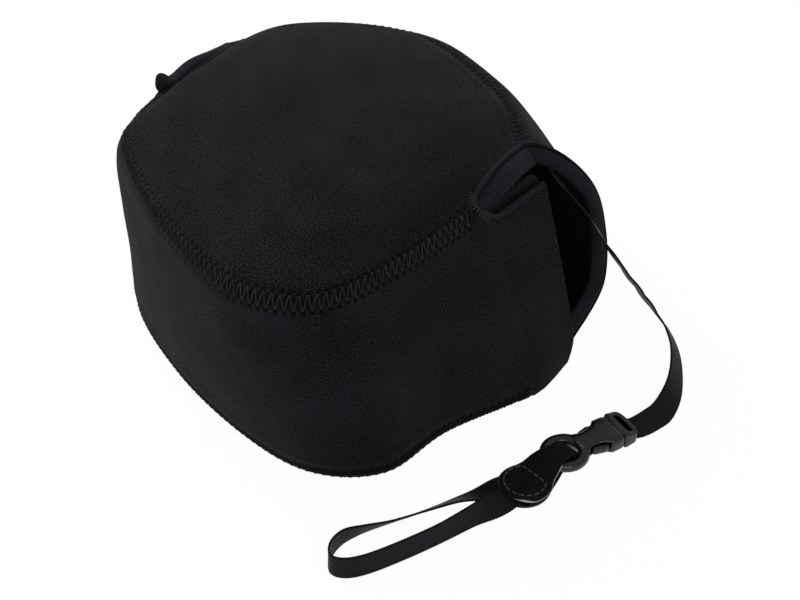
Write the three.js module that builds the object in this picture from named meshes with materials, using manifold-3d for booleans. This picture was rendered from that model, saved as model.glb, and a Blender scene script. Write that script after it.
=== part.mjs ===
import * as THREE from "three";
import { mergeVertices } from "three/addons/utils/BufferGeometryUtils.js";
import Module from "manifold-3d";

// Driving sizes in millimetres. X runs to the right of the case, Y to its back, Z up from the floor.
const SLOT_SPAN = 132;        // between the closed ends of the two strap slots
const NOSE_REACH = 74;        // slot line to the front of the lens nose, at the top seam
const BACK_REACH = 80;        // slot line to the middle of the back, at the top seam
const SLOT_LINE = [-6.05, -7.2]; // middle of the slot line, from the middle of the case
const SEAM_HEIGHT = 71;       // top seam above the floor
const BASE_SEAM = 5;          // bottom seam above the floor
const CROWN = 12;             // swell of the top panel above its seam
const FRONT_SWELL = 2.5;      // swell of the front wall between its seams
const BACK_SWELL = 8;         // the same for the back wall
const EAR_SWELL = [10, 5];    // more swell of the back wall at its right and left ends, behind the mouths
const SHEET = 3.4;            // neoprene with cloth on both faces
const SEAM_GAP = 0.4;         // between sewn edges
const SLOT_CUT = 7;           // notch in the top panel's side for the strap slot
const HOOD_ARCH = 3;          // rise of the hood's edge over the slot
const FACING = [2.8, 4.5];    // padded edge: thickness, depth
const PIPING = 2;             // outer rim, diameter
const LIP_ROLL = 3.4;         // rolled hem of the flap, diameter
const STITCH = [6.4, 0.5];    // zigzag seam: width, thickness
const BARTACK = 0.9;          // thickness of the dense stitches at the ends of the seams
const STITCH_LIFT = 0.5;      // stitches above the cloth that they cover
const CUT_GAP = 0.2;          // between pieces that are cut from one sheet
const RIBBON = [8.5, 0.6];    // lanyard ribbon: width, thickness
const BUCKLE_AT = [119.85, -3.84]; // middle of the buckle's mouth, from the middle of the slot line
const BUCKLE_TURN = -117;     // way from the mouth to the ring, degrees from +X
const BUCKLE_WIDE = 12.8;     // width over the mouth
const BUCKLE_THICK = 6.2;
const BODY_LENGTH = 14.4;     // mouth to the root of the ring
const RING = [19.2, 5.8, 1.2]; // ring: centre from the mouth, mean radius, rod radius
const TAB_TURN = 12;          // leather tab's lean from the buckle's line, degrees
const LEATHER = 1.1;          // leather sheet
const TAB_HEAD = [18.2, 8.3]; // head of the tab: centre from the ring's centre, radius
const TAB_NECK = 7;           // width of the tab where it folds round the ring
const TAB_EASE = 0.3;         // between the fold and the ring
const TACK = [1.4, 7.4, 0.5]; // stitched tack on the ribbon: along, across, thickness
const LIP_DROP = 5.5;         // the flap's free corner below the top seam
const FLOOR_GAP = 0.04;       // under the leather where it rests

const SPAN = 30;              // columns along each seam
const FREE = 5;               // columns of each free end
const ROWS = 8;               // rows of a wall
const DEPTH = 12;             // rows of the top and bottom panels

const wasm = await Module();
wasm.setup();

const range = (n) => Array.from({ length: n }, (_, i) => i);
const vec = (x, y, z) => new THREE.Vector3(x, y, z);

// A point from fractions of the slot span and of the reach to the nose or the back.
function plan(across, along, z) {
  const reach = along < 0 ? NOSE_REACH : BACK_REACH;
  return vec(across * SLOT_SPAN / 2 + SLOT_LINE[0], along * reach + SLOT_LINE[1], z);
}

// Evenly spaced points on the part of a smooth curve between two of its control points.
function stretch(points, from, to, count) {
  const curve = new THREE.CatmullRomCurve3(points, false, "catmullrom", 0.5);
  const last = points.length - 1;
  const fine = range(241).map((k) => curve.getPoint((from + (to - from) * k / 240) / last));
  const length = [0];
  for (let k = 1; k < fine.length; k += 1) {
    length.push(length[k - 1] + fine[k].distanceTo(fine[k - 1]));
  }
  return range(count + 1).map((n) => {
    const want = length[240] * n / count;
    let k = 1;
    while (k < 240 && length[k] < want) {
      k += 1;
    }
    const step = length[k] - length[k - 1] || 1;
    return fine[k - 1].clone().lerp(fine[k], (want - length[k - 1]) / step);
  });
}

// The front wall's edge: one free end, the sewn part, the other free end.
function flapEdge(points) {
  const last = points.length - 1;
  return [
    ...stretch(points, 0, 1, FREE),
    ...stretch(points, 1, last - 1, SPAN).slice(1),
    ...stretch(points, last - 1, last, FREE).slice(1),
  ];
}

const frontTop = flapEdge([
  plan(-1.09, 0.375, SEAM_HEIGHT - LIP_DROP),
  plan(-1, -0.03, SEAM_HEIGHT),
  plan(-0.8, -0.43, SEAM_HEIGHT),
  plan(-0.27, -0.78, SEAM_HEIGHT),
  plan(0.32, -1, SEAM_HEIGHT),
  plan(0.7, -0.92, SEAM_HEIGHT),
  plan(0.88, -0.56, SEAM_HEIGHT),
  plan(1, -0.03, SEAM_HEIGHT),
  plan(1.12, 0.375, SEAM_HEIGHT - LIP_DROP),
]);
const frontBase = flapEdge([
  plan(-1.14, 0.306, BASE_SEAM),
  plan(-1.06, -0.055, BASE_SEAM),
  plan(-0.77, -0.49, BASE_SEAM),
  plan(-0.27, -0.74, BASE_SEAM),
  plan(0.3, -0.92, BASE_SEAM),
  plan(0.9, -0.91, BASE_SEAM),
  plan(1.135, -0.48, BASE_SEAM),
  plan(1.345, -0.05, BASE_SEAM),
  plan(1.395, 0.3, BASE_SEAM),
]);
const backEdge = (points) => stretch(points, 0, points.length - 1, SPAN);
const backTop = backEdge([
  plan(0.895, 0.475, SEAM_HEIGHT + 1),
  plan(0.56, 0.76, SEAM_HEIGHT),
  plan(-0.12, 1, SEAM_HEIGHT),
  plan(-0.7, 0.81, SEAM_HEIGHT),
  plan(-0.895, 0.475, SEAM_HEIGHT + 1),
]);
const backBase = backEdge([
  plan(1.41, 0.39, BASE_SEAM),
  plan(1.24, 0.63, BASE_SEAM),
  plan(0.79, 0.875, BASE_SEAM),
  plan(-0.06, 1.05, BASE_SEAM),
  plan(-0.76, 0.875, BASE_SEAM),
  plan(-1.1, 0.63, BASE_SEAM),
  plan(-1.19, 0.39, BASE_SEAM),
]);

// Swell of a wall from its base (0) to its top seam (1): a slow rise, then a round shoulder.
function shoulder(w) {
  const turn = 0.55;
  return w < turn ? Math.sin(Math.PI * w / turn / 2) : Math.sqrt(1 - ((w - turn) / (1 - turn)) ** 2.5);
}

// Outer face of a wall as columns of points from its base seam to its top seam, closer near the top.
function wallGrid(tops, bases, swell) {
  const last = tops.length - 1;
  return tops.map((top, i) => {
    const before = Math.max(i - 1, 0);
    const after = Math.min(i + 1, last);
    const along = tops[after].clone().sub(tops[before]).setZ(0).normalize();
    const out = vec(along.y, -along.x, 0);
    return range(ROWS + 1).map((j) => {
      const w = (j / ROWS + Math.sin(Math.PI * j / ROWS / 2)) / 2;
      return bases[i].clone().lerp(top, w).addScaledVector(out, swell(i, w));
    });
  });
}
const belly = (w) => 4 * w * (1 - w);
const frontSwell = (k, w) => FRONT_SWELL * belly(w);
function backSwell(k, w) {
  const ends = [k, SPAN - k].map((n) => Math.max(0, 1 - n / 10) ** 2);
  const ear = ends[0] + ends[1];
  const full = BACK_SWELL + EAR_SWELL[0] * ends[0] + EAR_SWELL[1] * ends[1];
  return full * (belly(w) * (1 - ear) + shoulder(w) * ear);
}

const inner = (edgePoints) => edgePoints.slice(FREE, FREE + SPAN + 1);

// Outer face of the top panel: columns from left to right, each from the front seam to the back seam.
function topGrid() {
  const front = inner(frontTop);
  const back = [...backTop].reverse();
  return range(SPAN + 1).map((i) => {
    const side = 2 * i / SPAN - 1;
    return range(DEPTH + 1).map((j) => {
      const v = j / DEPTH;
      const swell = 4 * v * (1 - v);
      const point = front[i].clone().lerp(back[i], v);
      point.z += CROWN * Math.pow(swell, 0.7) * (1 - Math.abs(side) ** 2.4) + HOOD_ARCH * swell * side ** 8;
      point.x -= side ** 3 * SLOT_CUT * (1 - (2 * v - 1) ** 6);
      return point;
    });
  });
}

// Outer face of the bottom panel: columns from left to right, each from the back seam to the front seam.
function baseGrid() {
  const front = inner(frontBase);
  const back = [...backBase].reverse();
  return range(SPAN + 1).map((i) => {
    const side = 2 * i / SPAN - 1;
    return range(DEPTH + 1).map((j) => {
      const v = 2 * j / DEPTH - 1;
      const rim = Math.min(1, (Math.abs(side) ** 6 + Math.abs(v) ** 6) ** (1 / 6));
      const point = back[i].clone().lerp(front[i], j / DEPTH);
      point.z = BASE_SEAM * Math.max(0, (rim - 0.75) / 0.25) ** 1.5;
      point.x -= side ** 3 * SLOT_CUT * (1 - v ** 6);
      return point;
    });
  });
}

function gridNormals(grid) {
  const columns = grid.length - 1;
  const rows = grid[0].length - 1;
  return grid.map((column, i) => column.map((_, j) => {
    const across = grid[Math.min(i + 1, columns)][j].clone().sub(grid[Math.max(i - 1, 0)][j]);
    const along = grid[i][Math.min(j + 1, rows)].clone().sub(grid[i][Math.max(j - 1, 0)]);
    return across.cross(along).normalize();
  }));
}

// Closed solid between two facing grids of points.
function solidBetween(outer, innerGrid) {
  const columns = outer.length;
  const rows = outer[0].length;
  const positions = [outer, innerGrid].flat(2).flatMap((p) => [p.x, p.y, p.z]);
  const at = (face, i, j) => (face * columns + i) * rows + j;
  const index = [];
  const quad = (a, b, c, d) => index.push(a, b, c, a, c, d);
  for (let i = 0; i + 1 < columns; i += 1) {
    for (let j = 0; j + 1 < rows; j += 1) {
      quad(at(0, i, j), at(0, i + 1, j), at(0, i + 1, j + 1), at(0, i, j + 1));
      quad(at(1, i, j), at(1, i, j + 1), at(1, i + 1, j + 1), at(1, i + 1, j));
    }
    quad(at(0, i, 0), at(1, i, 0), at(1, i + 1, 0), at(0, i + 1, 0));
    quad(at(0, i, rows - 1), at(0, i + 1, rows - 1), at(1, i + 1, rows - 1), at(1, i, rows - 1));
  }
  for (let j = 0; j + 1 < rows; j += 1) {
    quad(at(0, 0, j), at(0, 0, j + 1), at(1, 0, j + 1), at(1, 0, j));
    quad(at(0, columns - 1, j), at(1, columns - 1, j), at(1, columns - 1, j + 1), at(0, columns - 1, j + 1));
  }
  return indexed(positions, index);
}

function indexed(positions, index) {
  const geometry = new THREE.BufferGeometry();
  geometry.setAttribute("position", new THREE.Float32BufferAttribute(positions, 3));
  geometry.setIndex(index);
  return geometry;
}

// The four neoprene faces, with the sheet's thickness drawn inward. Sewn edges share one mitre.
const faces = {
  front: wallGrid(frontTop, frontBase, frontSwell),
  back: wallGrid(backTop, backBase, backSwell),
  top: topGrid(),
  base: baseGrid(),
};
const normals = Object.fromEntries(Object.entries(faces).map(([name, grid]) => [name, gridNormals(grid)]));
const inward = Object.fromEntries(Object.entries(normals).map(([name, grid]) => [
  name,
  grid.map((column) => column.map((n) => n.clone().multiplyScalar(SHEET))),
]));
// Each seam pairs a wall's edge with a panel's edge, station by station, from the wall's first sewn column.
const seams = {
  top_front: range(SPAN + 1).map((k) => [["front", FREE + k, ROWS, -1], ["top", k, 0, 1]]),
  top_back: range(SPAN + 1).map((k) => [["back", k, ROWS, -1], ["top", SPAN - k, DEPTH, -1]]),
  base_front: range(SPAN + 1).map((k) => [["front", FREE + k, 0, 1], ["base", k, DEPTH, -1]]),
  base_back: range(SPAN + 1).map((k) => [["back", k, 0, 1], ["base", SPAN - k, 0, 1]]),
};
for (const stations of Object.values(seams)) {
  for (const [a, b] of stations) {
    const na = normals[a[0]][a[1]][a[2]];
    const nb = normals[b[0]][b[1]][b[2]];
    const mitre = na.clone().add(nb).normalize();
    mitre.multiplyScalar(SHEET / Math.max(mitre.dot(na), 0.75));
    inward[a[0]][a[1]][a[2]] = mitre.clone();
    inward[b[0]][b[1]][b[2]] = mitre.clone();
  }
}
for (const i of range(FREE)) {
  const last = faces.front.length - 1;
  inward.front[i][ROWS] = inward.front[FREE][ROWS].clone();
  inward.front[last - i][ROWS] = inward.front[last - FREE][ROWS].clone();
}

// A seam's two cover points: on the wall and on the panel, half the stitch's width from the sewn edge.
const onFace = ([name, i, j, step], reach) => {
  const point = faces[name][i][j];
  const next = faces[name][i][j + step];
  return point.clone().addScaledVector(next.clone().sub(point).normalize(), reach);
};
const stitchRows = Object.fromEntries(Object.entries(seams).map(([name, stations]) => [
  name,
  stations.map(([a, b]) => {
    const na = normals[a[0]][a[1]][a[2]];
    const nb = normals[b[0]][b[1]][b[2]];
    const rows = [
      [onFace(a, STITCH[0] / 2), na],
      [faces[a[0]][a[1]][a[2]].clone(), na.clone().add(nb).normalize()],
      [onFace(b, STITCH[0] / 2), nb],
    ];
    return name.startsWith("top") ? rows : rows.reverse();
  }),
]));
function stitchBand(name, from, to, rise, trim) {
  const rows = stitchRows[name].slice(from, to + 1);
  const ends = [[0, 1], [rows.length - 1, rows.length - 2]];
  const lifted = (lift) => {
    const grid = rows.map((row) => row.map(([p, n]) => p.clone().addScaledVector(n, lift)));
    const cut = ends.map(([end, next]) => grid[end].map((p, j) => {
      const way = grid[next][j].clone().sub(p).normalize();
      return p.clone().addScaledVector(way, trim);
    }));
    grid[0] = cut[0];
    grid[grid.length - 1] = cut[1];
    return grid;
  };
  return solidBetween(lifted(STITCH_LIFT + rise), lifted(STITCH_LIFT));
}

// Sewn edges stand a little apart.
for (const stations of Object.values(seams)) {
  const moves = stations.flat().map((spot) => [spot, onFace(spot, SEAM_GAP / 2)]);
  for (const [[name, i, j], point] of moves) {
    faces[name][i][j] = point;
  }
}
const innerFaces = Object.fromEntries(Object.entries(faces).map(([name, grid]) => [
  name,
  grid.map((column, i) => column.map((p, j) => p.clone().sub(inward[name][i][j]))),
]));

// Part of a wall between two columns, with the first or last column drawn back from the cut.
function wallPiece(name, from, to, cutFirst, cutLast) {
  const take = (grid) => {
    const columns = grid.slice(from, to + 1).map((column) => column.map((p) => p.clone()));
    const last = columns.length - 1;
    columns[0].forEach((p, j) => p.lerp(columns[1][j], cutFirst / Math.max(p.distanceTo(columns[1][j]), 1)));
    columns[last].forEach((p, j) => {
      p.lerp(columns[last - 1][j], cutLast / Math.max(p.distanceTo(columns[last - 1][j]), 1));
    });
    return columns;
  };
  return solidBetween(take(faces[name]), take(innerFaces[name]));
}

// A closed rod whose section, a list of points on two axes, follows a route of points and axes.
function rod(stations, section) {
  const count = section.length;
  const positions = [];
  stations.forEach(({ at, one, two, size = 1 }) => {
    section.forEach(([s, t]) => {
      const p = at.clone().addScaledVector(one, s * size).addScaledVector(two, t * size);
      positions.push(p.x, p.y, p.z);
    });
  });
  const index = [];
  for (let k = 0; k + 1 < stations.length; k += 1) {
    for (let m = 0; m < count; m += 1) {
      const a = k * count + m;
      const b = k * count + (m + 1) % count;
      index.push(a, b, b + count, a, b + count, a + count);
    }
  }
  const end = (stations.length - 1) * count;
  for (let m = 1; m + 1 < count; m += 1) {
    index.push(0, m + 1, m, end, end + m, end + m + 1);
  }
  return outward(indexed(positions, index));
}

// Turns a closed solid's faces outward.
function outward(geometry) {
  const p = geometry.attributes.position;
  const index = geometry.index.array;
  const corner = (k) => vec().fromBufferAttribute(p, index[k]);
  let volume = 0;
  for (let k = 0; k < index.length; k += 3) {
    volume += corner(k).dot(corner(k + 1).cross(corner(k + 2)));
  }
  if (volume < 0) {
    for (let k = 0; k < index.length; k += 3) {
      [index[k + 1], index[k + 2]] = [index[k + 2], index[k + 1]];
    }
  }
  return geometry;
}

// The free edge of the hood: along the top panel's side, then down the end of the back wall.
function hoodEdge(right) {
  const column = right ? SPAN : 0;
  const last = faces.back.length - 1;
  const spots = [
    ...range(DEPTH - 1).map((j) => ["top", column, j + 1]),
    ...range(ROWS - 1).map((j) => ["back", right ? 0 : last, ROWS - 1 - j]),
  ];
  const points = spots.map(([name, i, j]) => faces[name][i][j]);
  const open = spots.map(([name, i, j], k) => {
    const inside = faces[name][i + (i === 0 ? 1 : -1)][j];
    return points[k].clone().sub(inside).normalize();
  });
  return spots.map((_, k) => {
    const before = Math.max(k - 1, 0);
    const after = Math.min(k + 1, points.length - 1);
    const along = points[after].clone().sub(points[before]).normalize();
    const one = open[k].clone().multiplyScalar(2).add(open[before]).add(open[after]);
    one.addScaledVector(along, -one.dot(along)).normalize();
    const two = one.clone().cross(along).multiplyScalar(right ? 1 : -1);
    return { at: points[k].clone(), one, two, size: Math.min(1, 0.45 + k * 0.2) };
  });
}

// The top edge of a flap, from near the slot's closed end to the free corner.
function lipEdge(right) {
  const last = faces.front.length - 1;
  const spots = range(FREE - 1).map((k) => (right ? last - FREE + 2 + k : FREE - 2 - k));
  return spots.map((i) => {
    const a = faces.front[Math.max(i - 1, 0)][ROWS];
    const b = faces.front[Math.min(i + 1, last)][ROWS];
    const along = b.clone().sub(a).normalize();
    const two = normals.front[i][ROWS].clone();
    two.addScaledVector(along, -two.dot(along)).normalize();
    const one = vec(0, 0, 1).addScaledVector(along, -along.z);
    one.addScaledVector(two, -one.dot(two)).normalize();
    return { at: innerFaces.front[i][ROWS].clone(), one, two, size: 1 };
  });
}

const round = (radius, s, t, sides) => range(sides).map((k) => {
  const a = 2 * Math.PI * k / sides;
  return [s + radius * Math.cos(a), t + radius * Math.sin(a)];
});
const facingSection = [
  [0.7, -PIPING + 0.2],
  [0.7, -PIPING - FACING[1]],
  [FACING[0] * 0.7, -PIPING - FACING[1]],
  [FACING[0], -PIPING - FACING[1] * 0.75],
  [FACING[0], -PIPING - 1],
  [FACING[0] * 0.6, -PIPING + 0.2],
];
const pipingSection = round(PIPING / 2, PIPING / 2 + 0.35, -PIPING / 4, 6);
const lipSection = round(LIP_ROLL / 2, 0.4, -LIP_ROLL / 2 - 0.6, 8);

// A flat ribbon along a route of [x, y, z, lean] points. Lean turns the ribbon from standing on its
// edge (0) to lying flat (90). A point without a height rests on the floor.
function ribbon(route) {
  const flat = (lean) => THREE.MathUtils.degToRad(lean);
  const centres = route.map(([x, y, z, lean]) => {
    const turn = flat(lean);
    const rest = (Math.abs(Math.cos(turn)) * RIBBON[0] + Math.abs(Math.sin(turn)) * RIBBON[1]) / 2;
    return vec(x, y, z ?? rest + 0.15);
  });
  const count = (route.length - 1) * 2;
  const curve = new THREE.CatmullRomCurve3(centres, false, "catmullrom", 0.5);
  const stations = range(count + 1).map((n) => {
    const at = curve.getPoint(n / count);
    const along = curve.getTangent(n / count);
    const k = Math.min(Math.floor(n / 2), route.length - 2);
    const lean = flat(THREE.MathUtils.lerp(route[k][3], route[k + 1][3], n / 2 - k));
    const up = vec(0, 0, 1).addScaledVector(along, -along.z).normalize();
    const side = along.clone().cross(up);
    const one = up.multiplyScalar(Math.cos(lean)).addScaledVector(side, Math.sin(lean));
    return { at, one, two: along.clone().cross(one) };
  });
  const [w, t] = [RIBBON[0] / 2, RIBBON[1] / 2];
  return rod(stations, [[-w, -t], [w, -t], [w, t], [-w, t]]);
}

// Solids that are joined and cut.
function toSolid(geometry) {
  const bare = new THREE.BufferGeometry();
  bare.setAttribute("position", geometry.attributes.position.clone());
  if (geometry.index) {
    bare.setIndex(geometry.index.clone());
  }
  const merged = mergeVertices(bare, 1e-4);
  return new wasm.Manifold(new wasm.Mesh({
    numProp: 3,
    vertProperties: new Float32Array(merged.attributes.position.array),
    triVerts: new Uint32Array(merged.index.array),
  }));
}
function fromSolid(solid) {
  const mesh = solid.getMesh();
  const positions = [];
  for (let k = 0; k < mesh.vertProperties.length; k += mesh.numProp) {
    positions.push(mesh.vertProperties[k], mesh.vertProperties[k + 1], mesh.vertProperties[k + 2]);
  }
  return indexed(positions, Array.from(mesh.triVerts));
}
function block(a, y, z) {
  const geometry = new THREE.BoxGeometry(a[1] - a[0], y[1] - y[0], z[1] - z[0]);
  geometry.translate((a[0] + a[1]) / 2, (y[0] + y[1]) / 2, (z[0] + z[1]) / 2);
  return toSolid(geometry);
}
function slab(outline, z) {
  const shape = new THREE.Shape(outline.map(([x, y]) => new THREE.Vector2(x, y)));
  const geometry = new THREE.ExtrudeGeometry(shape, { depth: z[1] - z[0], bevelEnabled: false });
  geometry.translate(0, 0, z[0]);
  return toSolid(geometry);
}

// Buckle frame: first axis from the mouth to the ring, second across, third up.
const turn = THREE.MathUtils.degToRad(BUCKLE_TURN);
const mouth = vec(BUCKLE_AT[0] + SLOT_LINE[0], BUCKLE_AT[1] + SLOT_LINE[1], 0);
const buckleFrame = new THREE.Matrix4().makeRotationZ(turn).setPosition(mouth);
// The leather's fold clears the bent rod of the ring, and the buckle lies as high as the fold needs.
const tabBore = RING[1] - Math.sqrt((RING[1] - RING[2]) ** 2 - TAB_NECK ** 2 / 4) + TAB_EASE;
const tabSkin = tabBore + LEATHER;
const BUCKLE_MID = tabSkin + FLOOR_GAP;
const half = BUCKLE_WIDE / 2;
const webHalf = RIBBON[0] / 2 + 0.45;
const hollow = [BUCKLE_MID - 1.65, BUCKLE_MID + 1.65];
const low = BUCKLE_MID - BUCKLE_THICK / 2;
const high = BUCKLE_MID + BUCKLE_THICK / 2;
const mirror = (points) => [...points, ...points.map(([a, y]) => [a, -y]).reverse()];

function femaleHalf() {
  const outline = mirror([
    [0, -half + 0.3],
    [2.2, -half],
    [6, -half],
    [9, -half * 0.93],
    [11.5, -half * 0.8],
    [BODY_LENGTH, -half * 0.56],
  ]);
  const ring = new THREE.TorusGeometry(RING[1], RING[2], 8, 24);
  ring.translate(RING[0], 0, BUCKLE_MID);
  const cavity = block([-1, 12], [-half * 0.79, half * 0.79], hollow);
  const window = block([4.6, 11.6], [-half - 1, half + 1], hollow);
  return slab(outline, [low, high]).subtract(cavity).subtract(window).add(toSolid(ring));
}
function maleHalf() {
  const yoke = block([-5.6, -0.3], [-half + 0.2, half - 0.2], [low, high]);
  const over = [BUCKLE_MID + 1.3, high + 1];
  const under = [low - 1, BUCKLE_MID - 1.3];
  const web = [-webHalf, webHalf];
  const slot = block([-3.8, -1.9], web, [low - 1, high + 1]);
  const tongue = block([-0.5, 9], [-1, 1], [BUCKLE_MID - 1.1, BUCKLE_MID + 1.1]);
  return yoke
    .subtract(slot)
    .subtract(block([-6, -3], web, over))
    .subtract(block([-6, -3], web, under))
    .add(tongue);
}
function latchArm(side) {
  const outline = [
    [0, half * 0.52],
    [11.2, half * 0.52],
    [11, half * 0.79],
    [7, half * 0.95],
    [4.9, half * 0.9],
    [4.9, half * 0.69],
    [0, half * 0.69],
  ].map(([a, y]) => [a, y * side]);
  return slab(side > 0 ? outline : outline.reverse(), [BUCKLE_MID - 1.3, BUCKLE_MID + 1.3]);
}

// Tab frame: first axis out from the ring's centre along the tab.
const tabFrame = buckleFrame.clone()
  .multiply(new THREE.Matrix4().makeTranslation(RING[0], 0, 0))
  .multiply(new THREE.Matrix4().makeRotationZ(THREE.MathUtils.degToRad(TAB_TURN)));
function leatherTab() {
  const far = TAB_HEAD[0] + TAB_HEAD[1] + 1;
  const fold = (radius, turns) => range(turns + 1).map((k) => {
    const a = -Math.PI / 2 - Math.PI * k / turns;
    return [RING[1] + radius * Math.cos(a), radius * Math.sin(a)];
  });
  const profile = [
    [far, -tabSkin],
    ...fold(tabSkin, 8),
    [9.5, tabSkin - 1.3],
    [13, 1],
    [far, 0.9],
    [far, 0.9 - LEATHER],
    [13, 1 - LEATHER],
    [9.5, tabBore - 1.3],
    ...fold(tabBore, 8).reverse(),
    [far, -tabBore],
  ];
  const shape = new THREE.Shape(profile.map(([r, z]) => new THREE.Vector2(r, z)));
  const geometry = new THREE.ExtrudeGeometry(shape, { depth: 24, bevelEnabled: false });
  geometry.translate(0, 0, -12);
  geometry.rotateX(Math.PI / 2);
  geometry.translate(0, 0, BUCKLE_MID);
  const head = range(25).map((k) => {
    const a = -2.35 + 4.7 * k / 24;
    return [TAB_HEAD[0] + TAB_HEAD[1] * Math.cos(a), TAB_HEAD[1] * Math.sin(a)];
  });
  const outline = [[0.5, -TAB_NECK / 2], [9, -TAB_NECK / 2], ...head, [9, TAB_NECK / 2], [0.5, TAB_NECK / 2]];
  return toSolid(geometry).intersect(slab(outline, [-2, 12]));
}
function tabStitching() {
  const radius = TAB_HEAD[1] - 1.6;
  const route = range(20).map((k) => {
    const a = -2.2 + 4.4 * k / 19;
    return vec(TAB_HEAD[0] + radius * Math.cos(a), radius * Math.sin(a), BUCKLE_MID + 0.95 + 0.7);
  });
  const stations = range(23).map((n) => {
    const closing = [0.25, 0.5, 0.75];
    const at = n < 20 ? route[n] : route[19].clone().lerp(route[0], closing[n - 20]);
    return at.clone();
  });
  const count = stations.length;
  const rings = [...range(count), 0].map((n) => {
    const along = stations[(n + 1) % count].clone().sub(stations[(n + count - 1) % count]).normalize();
    return { at: stations[n], one: along.clone().cross(vec(0, 0, 1)), two: vec(0, 0, 1) };
  });
  const section = round(0.35, 0, 0, 6);
  const positions = rings.slice(0, count).flatMap(({ at, one, two }) => section.flatMap(([s, t]) => {
    const p = at.clone().addScaledVector(one, s).addScaledVector(two, t);
    return [p.x, p.y, p.z];
  }));
  const index = range(count).flatMap((k) => range(6).flatMap((m) => {
    const a = k * 6 + m;
    const b = k * 6 + (m + 1) % 6;
    const c = ((k + 1) % count) * 6 + (m + 1) % 6;
    const d = ((k + 1) % count) * 6 + m;
    return [a, b, c, a, c, d];
  }));
  return outward(indexed(positions, index));
}

// Lanyard routes, [x, y, height, lean]. The tether's last points go round the male half's bar.
const onBuckle = (a, y, z, lean) => {
  const p = vec(a, y, z).applyMatrix4(buckleFrame);
  return [p.x, p.y, p.z, lean];
};
const fromSlots = ([x, y, z, lean]) => [x + SLOT_LINE[0], y + SLOT_LINE[1], z, lean];
const tetherRoute = [
  ...[
    [50.4, 50.4, 65.4, 57],
    [53.4, 46.6, 65.3, 57],
    [58, 39.5, 59.6, 50],
    [64, 35, 59.4, 42],
    [70.4, 34.6, 61.5, 40],
    [76.7, 36, 62, 42],
    [81.9, 36.8, 57.5, 48],
    [86.9, 37.2, 52, 49],
    [93.6, 37.7, 43.2, 57],
    [99.9, 40.7, 32.6, 67],
    [104.4, 44.1, 24, 68],
    [109.1, 46.6, 16, 56],
    [114.9, 46.4, 10, 42],
    [120.2, 42.4, 6, 32],
    [124.8, 34.2, null, 34],
    [127.8, 25, null, 44],
    [128.6, 16, null, 60],
    [126.8, 9.6, 3.2, 76],
  ].map(fromSlots),
  onBuckle(-9.8, 0, BUCKLE_MID + 1.4, 90),
  onBuckle(-7.4, 0, BUCKLE_MID + 2, 90),
  onBuckle(-5.4, 0, BUCKLE_MID + 2.1, 90),
  onBuckle(-3.6, 0, BUCKLE_MID + 2, 90),
];
const loopRoute = [
  [104.5, -35.5, 1.75, -90],
  [102.5, -39, 1.75, -90],
  [99.4, -43.8, 1.75, -90],
  [95.9, -49.6, 1.2, -82],
  [91.7, -57.2, null, -60],
  [86.2, -66.2, null, -48],
  [79.5, -76, null, -38],
  [74, -84, null, -22],
  [71, -90, null, -8],
  [71, -96.3, null, -2],
  [74, -100.6, null, 0],
  [78.4, -100, null, -4],
  [83.2, -95.2, null, -8],
  [89.1, -85.3, null, -12],
  [95.5, -72.5, null, -20],
  [101, -58.8, null, -50],
  [104, -50, 2.3, -86],
  [105.6, -44.6, 2.6, -90],
  [107, -39, 2.6, -90],
].map(fromSlots);

// A short block of stitches on the face of a ribbon, at a point on its middle line.
function tack(middle, along, face) {
  const stations = [-TACK[0] / 2, TACK[0] / 2].map((step) => ({
    at: middle.clone().addScaledVector(along, step).addScaledVector(face, RIBBON[1] / 2 + TACK[2] / 2 + 0.35),
    one: face.clone().cross(along),
    two: face,
  }));
  const [w, t] = [TACK[1] / 2, TACK[2] / 2];
  return rod(stations, [[-w, -t], [w, -t], [w, t], [-w, t]]);
}
// The tether starts flat under the shoulder of the back wall, and its folded end is sewn at the buckle.
function anchorTack() {
  const start = vec(...tetherRoute[0].slice(0, 3));
  const along = vec(...tetherRoute[1].slice(0, 3)).sub(start).normalize();
  const face = vec(-0.38, -0.39, -0.84);
  face.addScaledVector(along, -face.dot(along)).normalize();
  return tack(start.addScaledVector(along, TACK[0]), along, face);
}
function endTack() {
  const along = vec(2.4, 0, 0.6).normalize();
  return tack(vec(-8.6, 0, BUCKLE_MID + 1.7), along, vec(-along.z, 0, along.x)).applyMatrix4(buckleFrame);
}

const cloth = [0x23, 0x23, 0x26];
const material = (name, rgb, roughness) => {
  const made = new THREE.MeshStandardMaterial({ roughness });
  made.color.setRGB(rgb[0] / 255, rgb[1] / 255, rgb[2] / 255);
  made.name = name;
  return made;
};
const group = new THREE.Group();
group.name = "neoprene_camera_case";
function add(name, geometry, slot, rgb, roughness) {
  const bare = new THREE.BufferGeometry();
  bare.setAttribute("position", geometry.attributes.position);
  bare.setIndex(geometry.index);
  bare.computeVertexNormals();
  const mesh = new THREE.Mesh(bare, material(slot, rgb, roughness));
  mesh.name = name;
  group.add(mesh);
}

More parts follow.
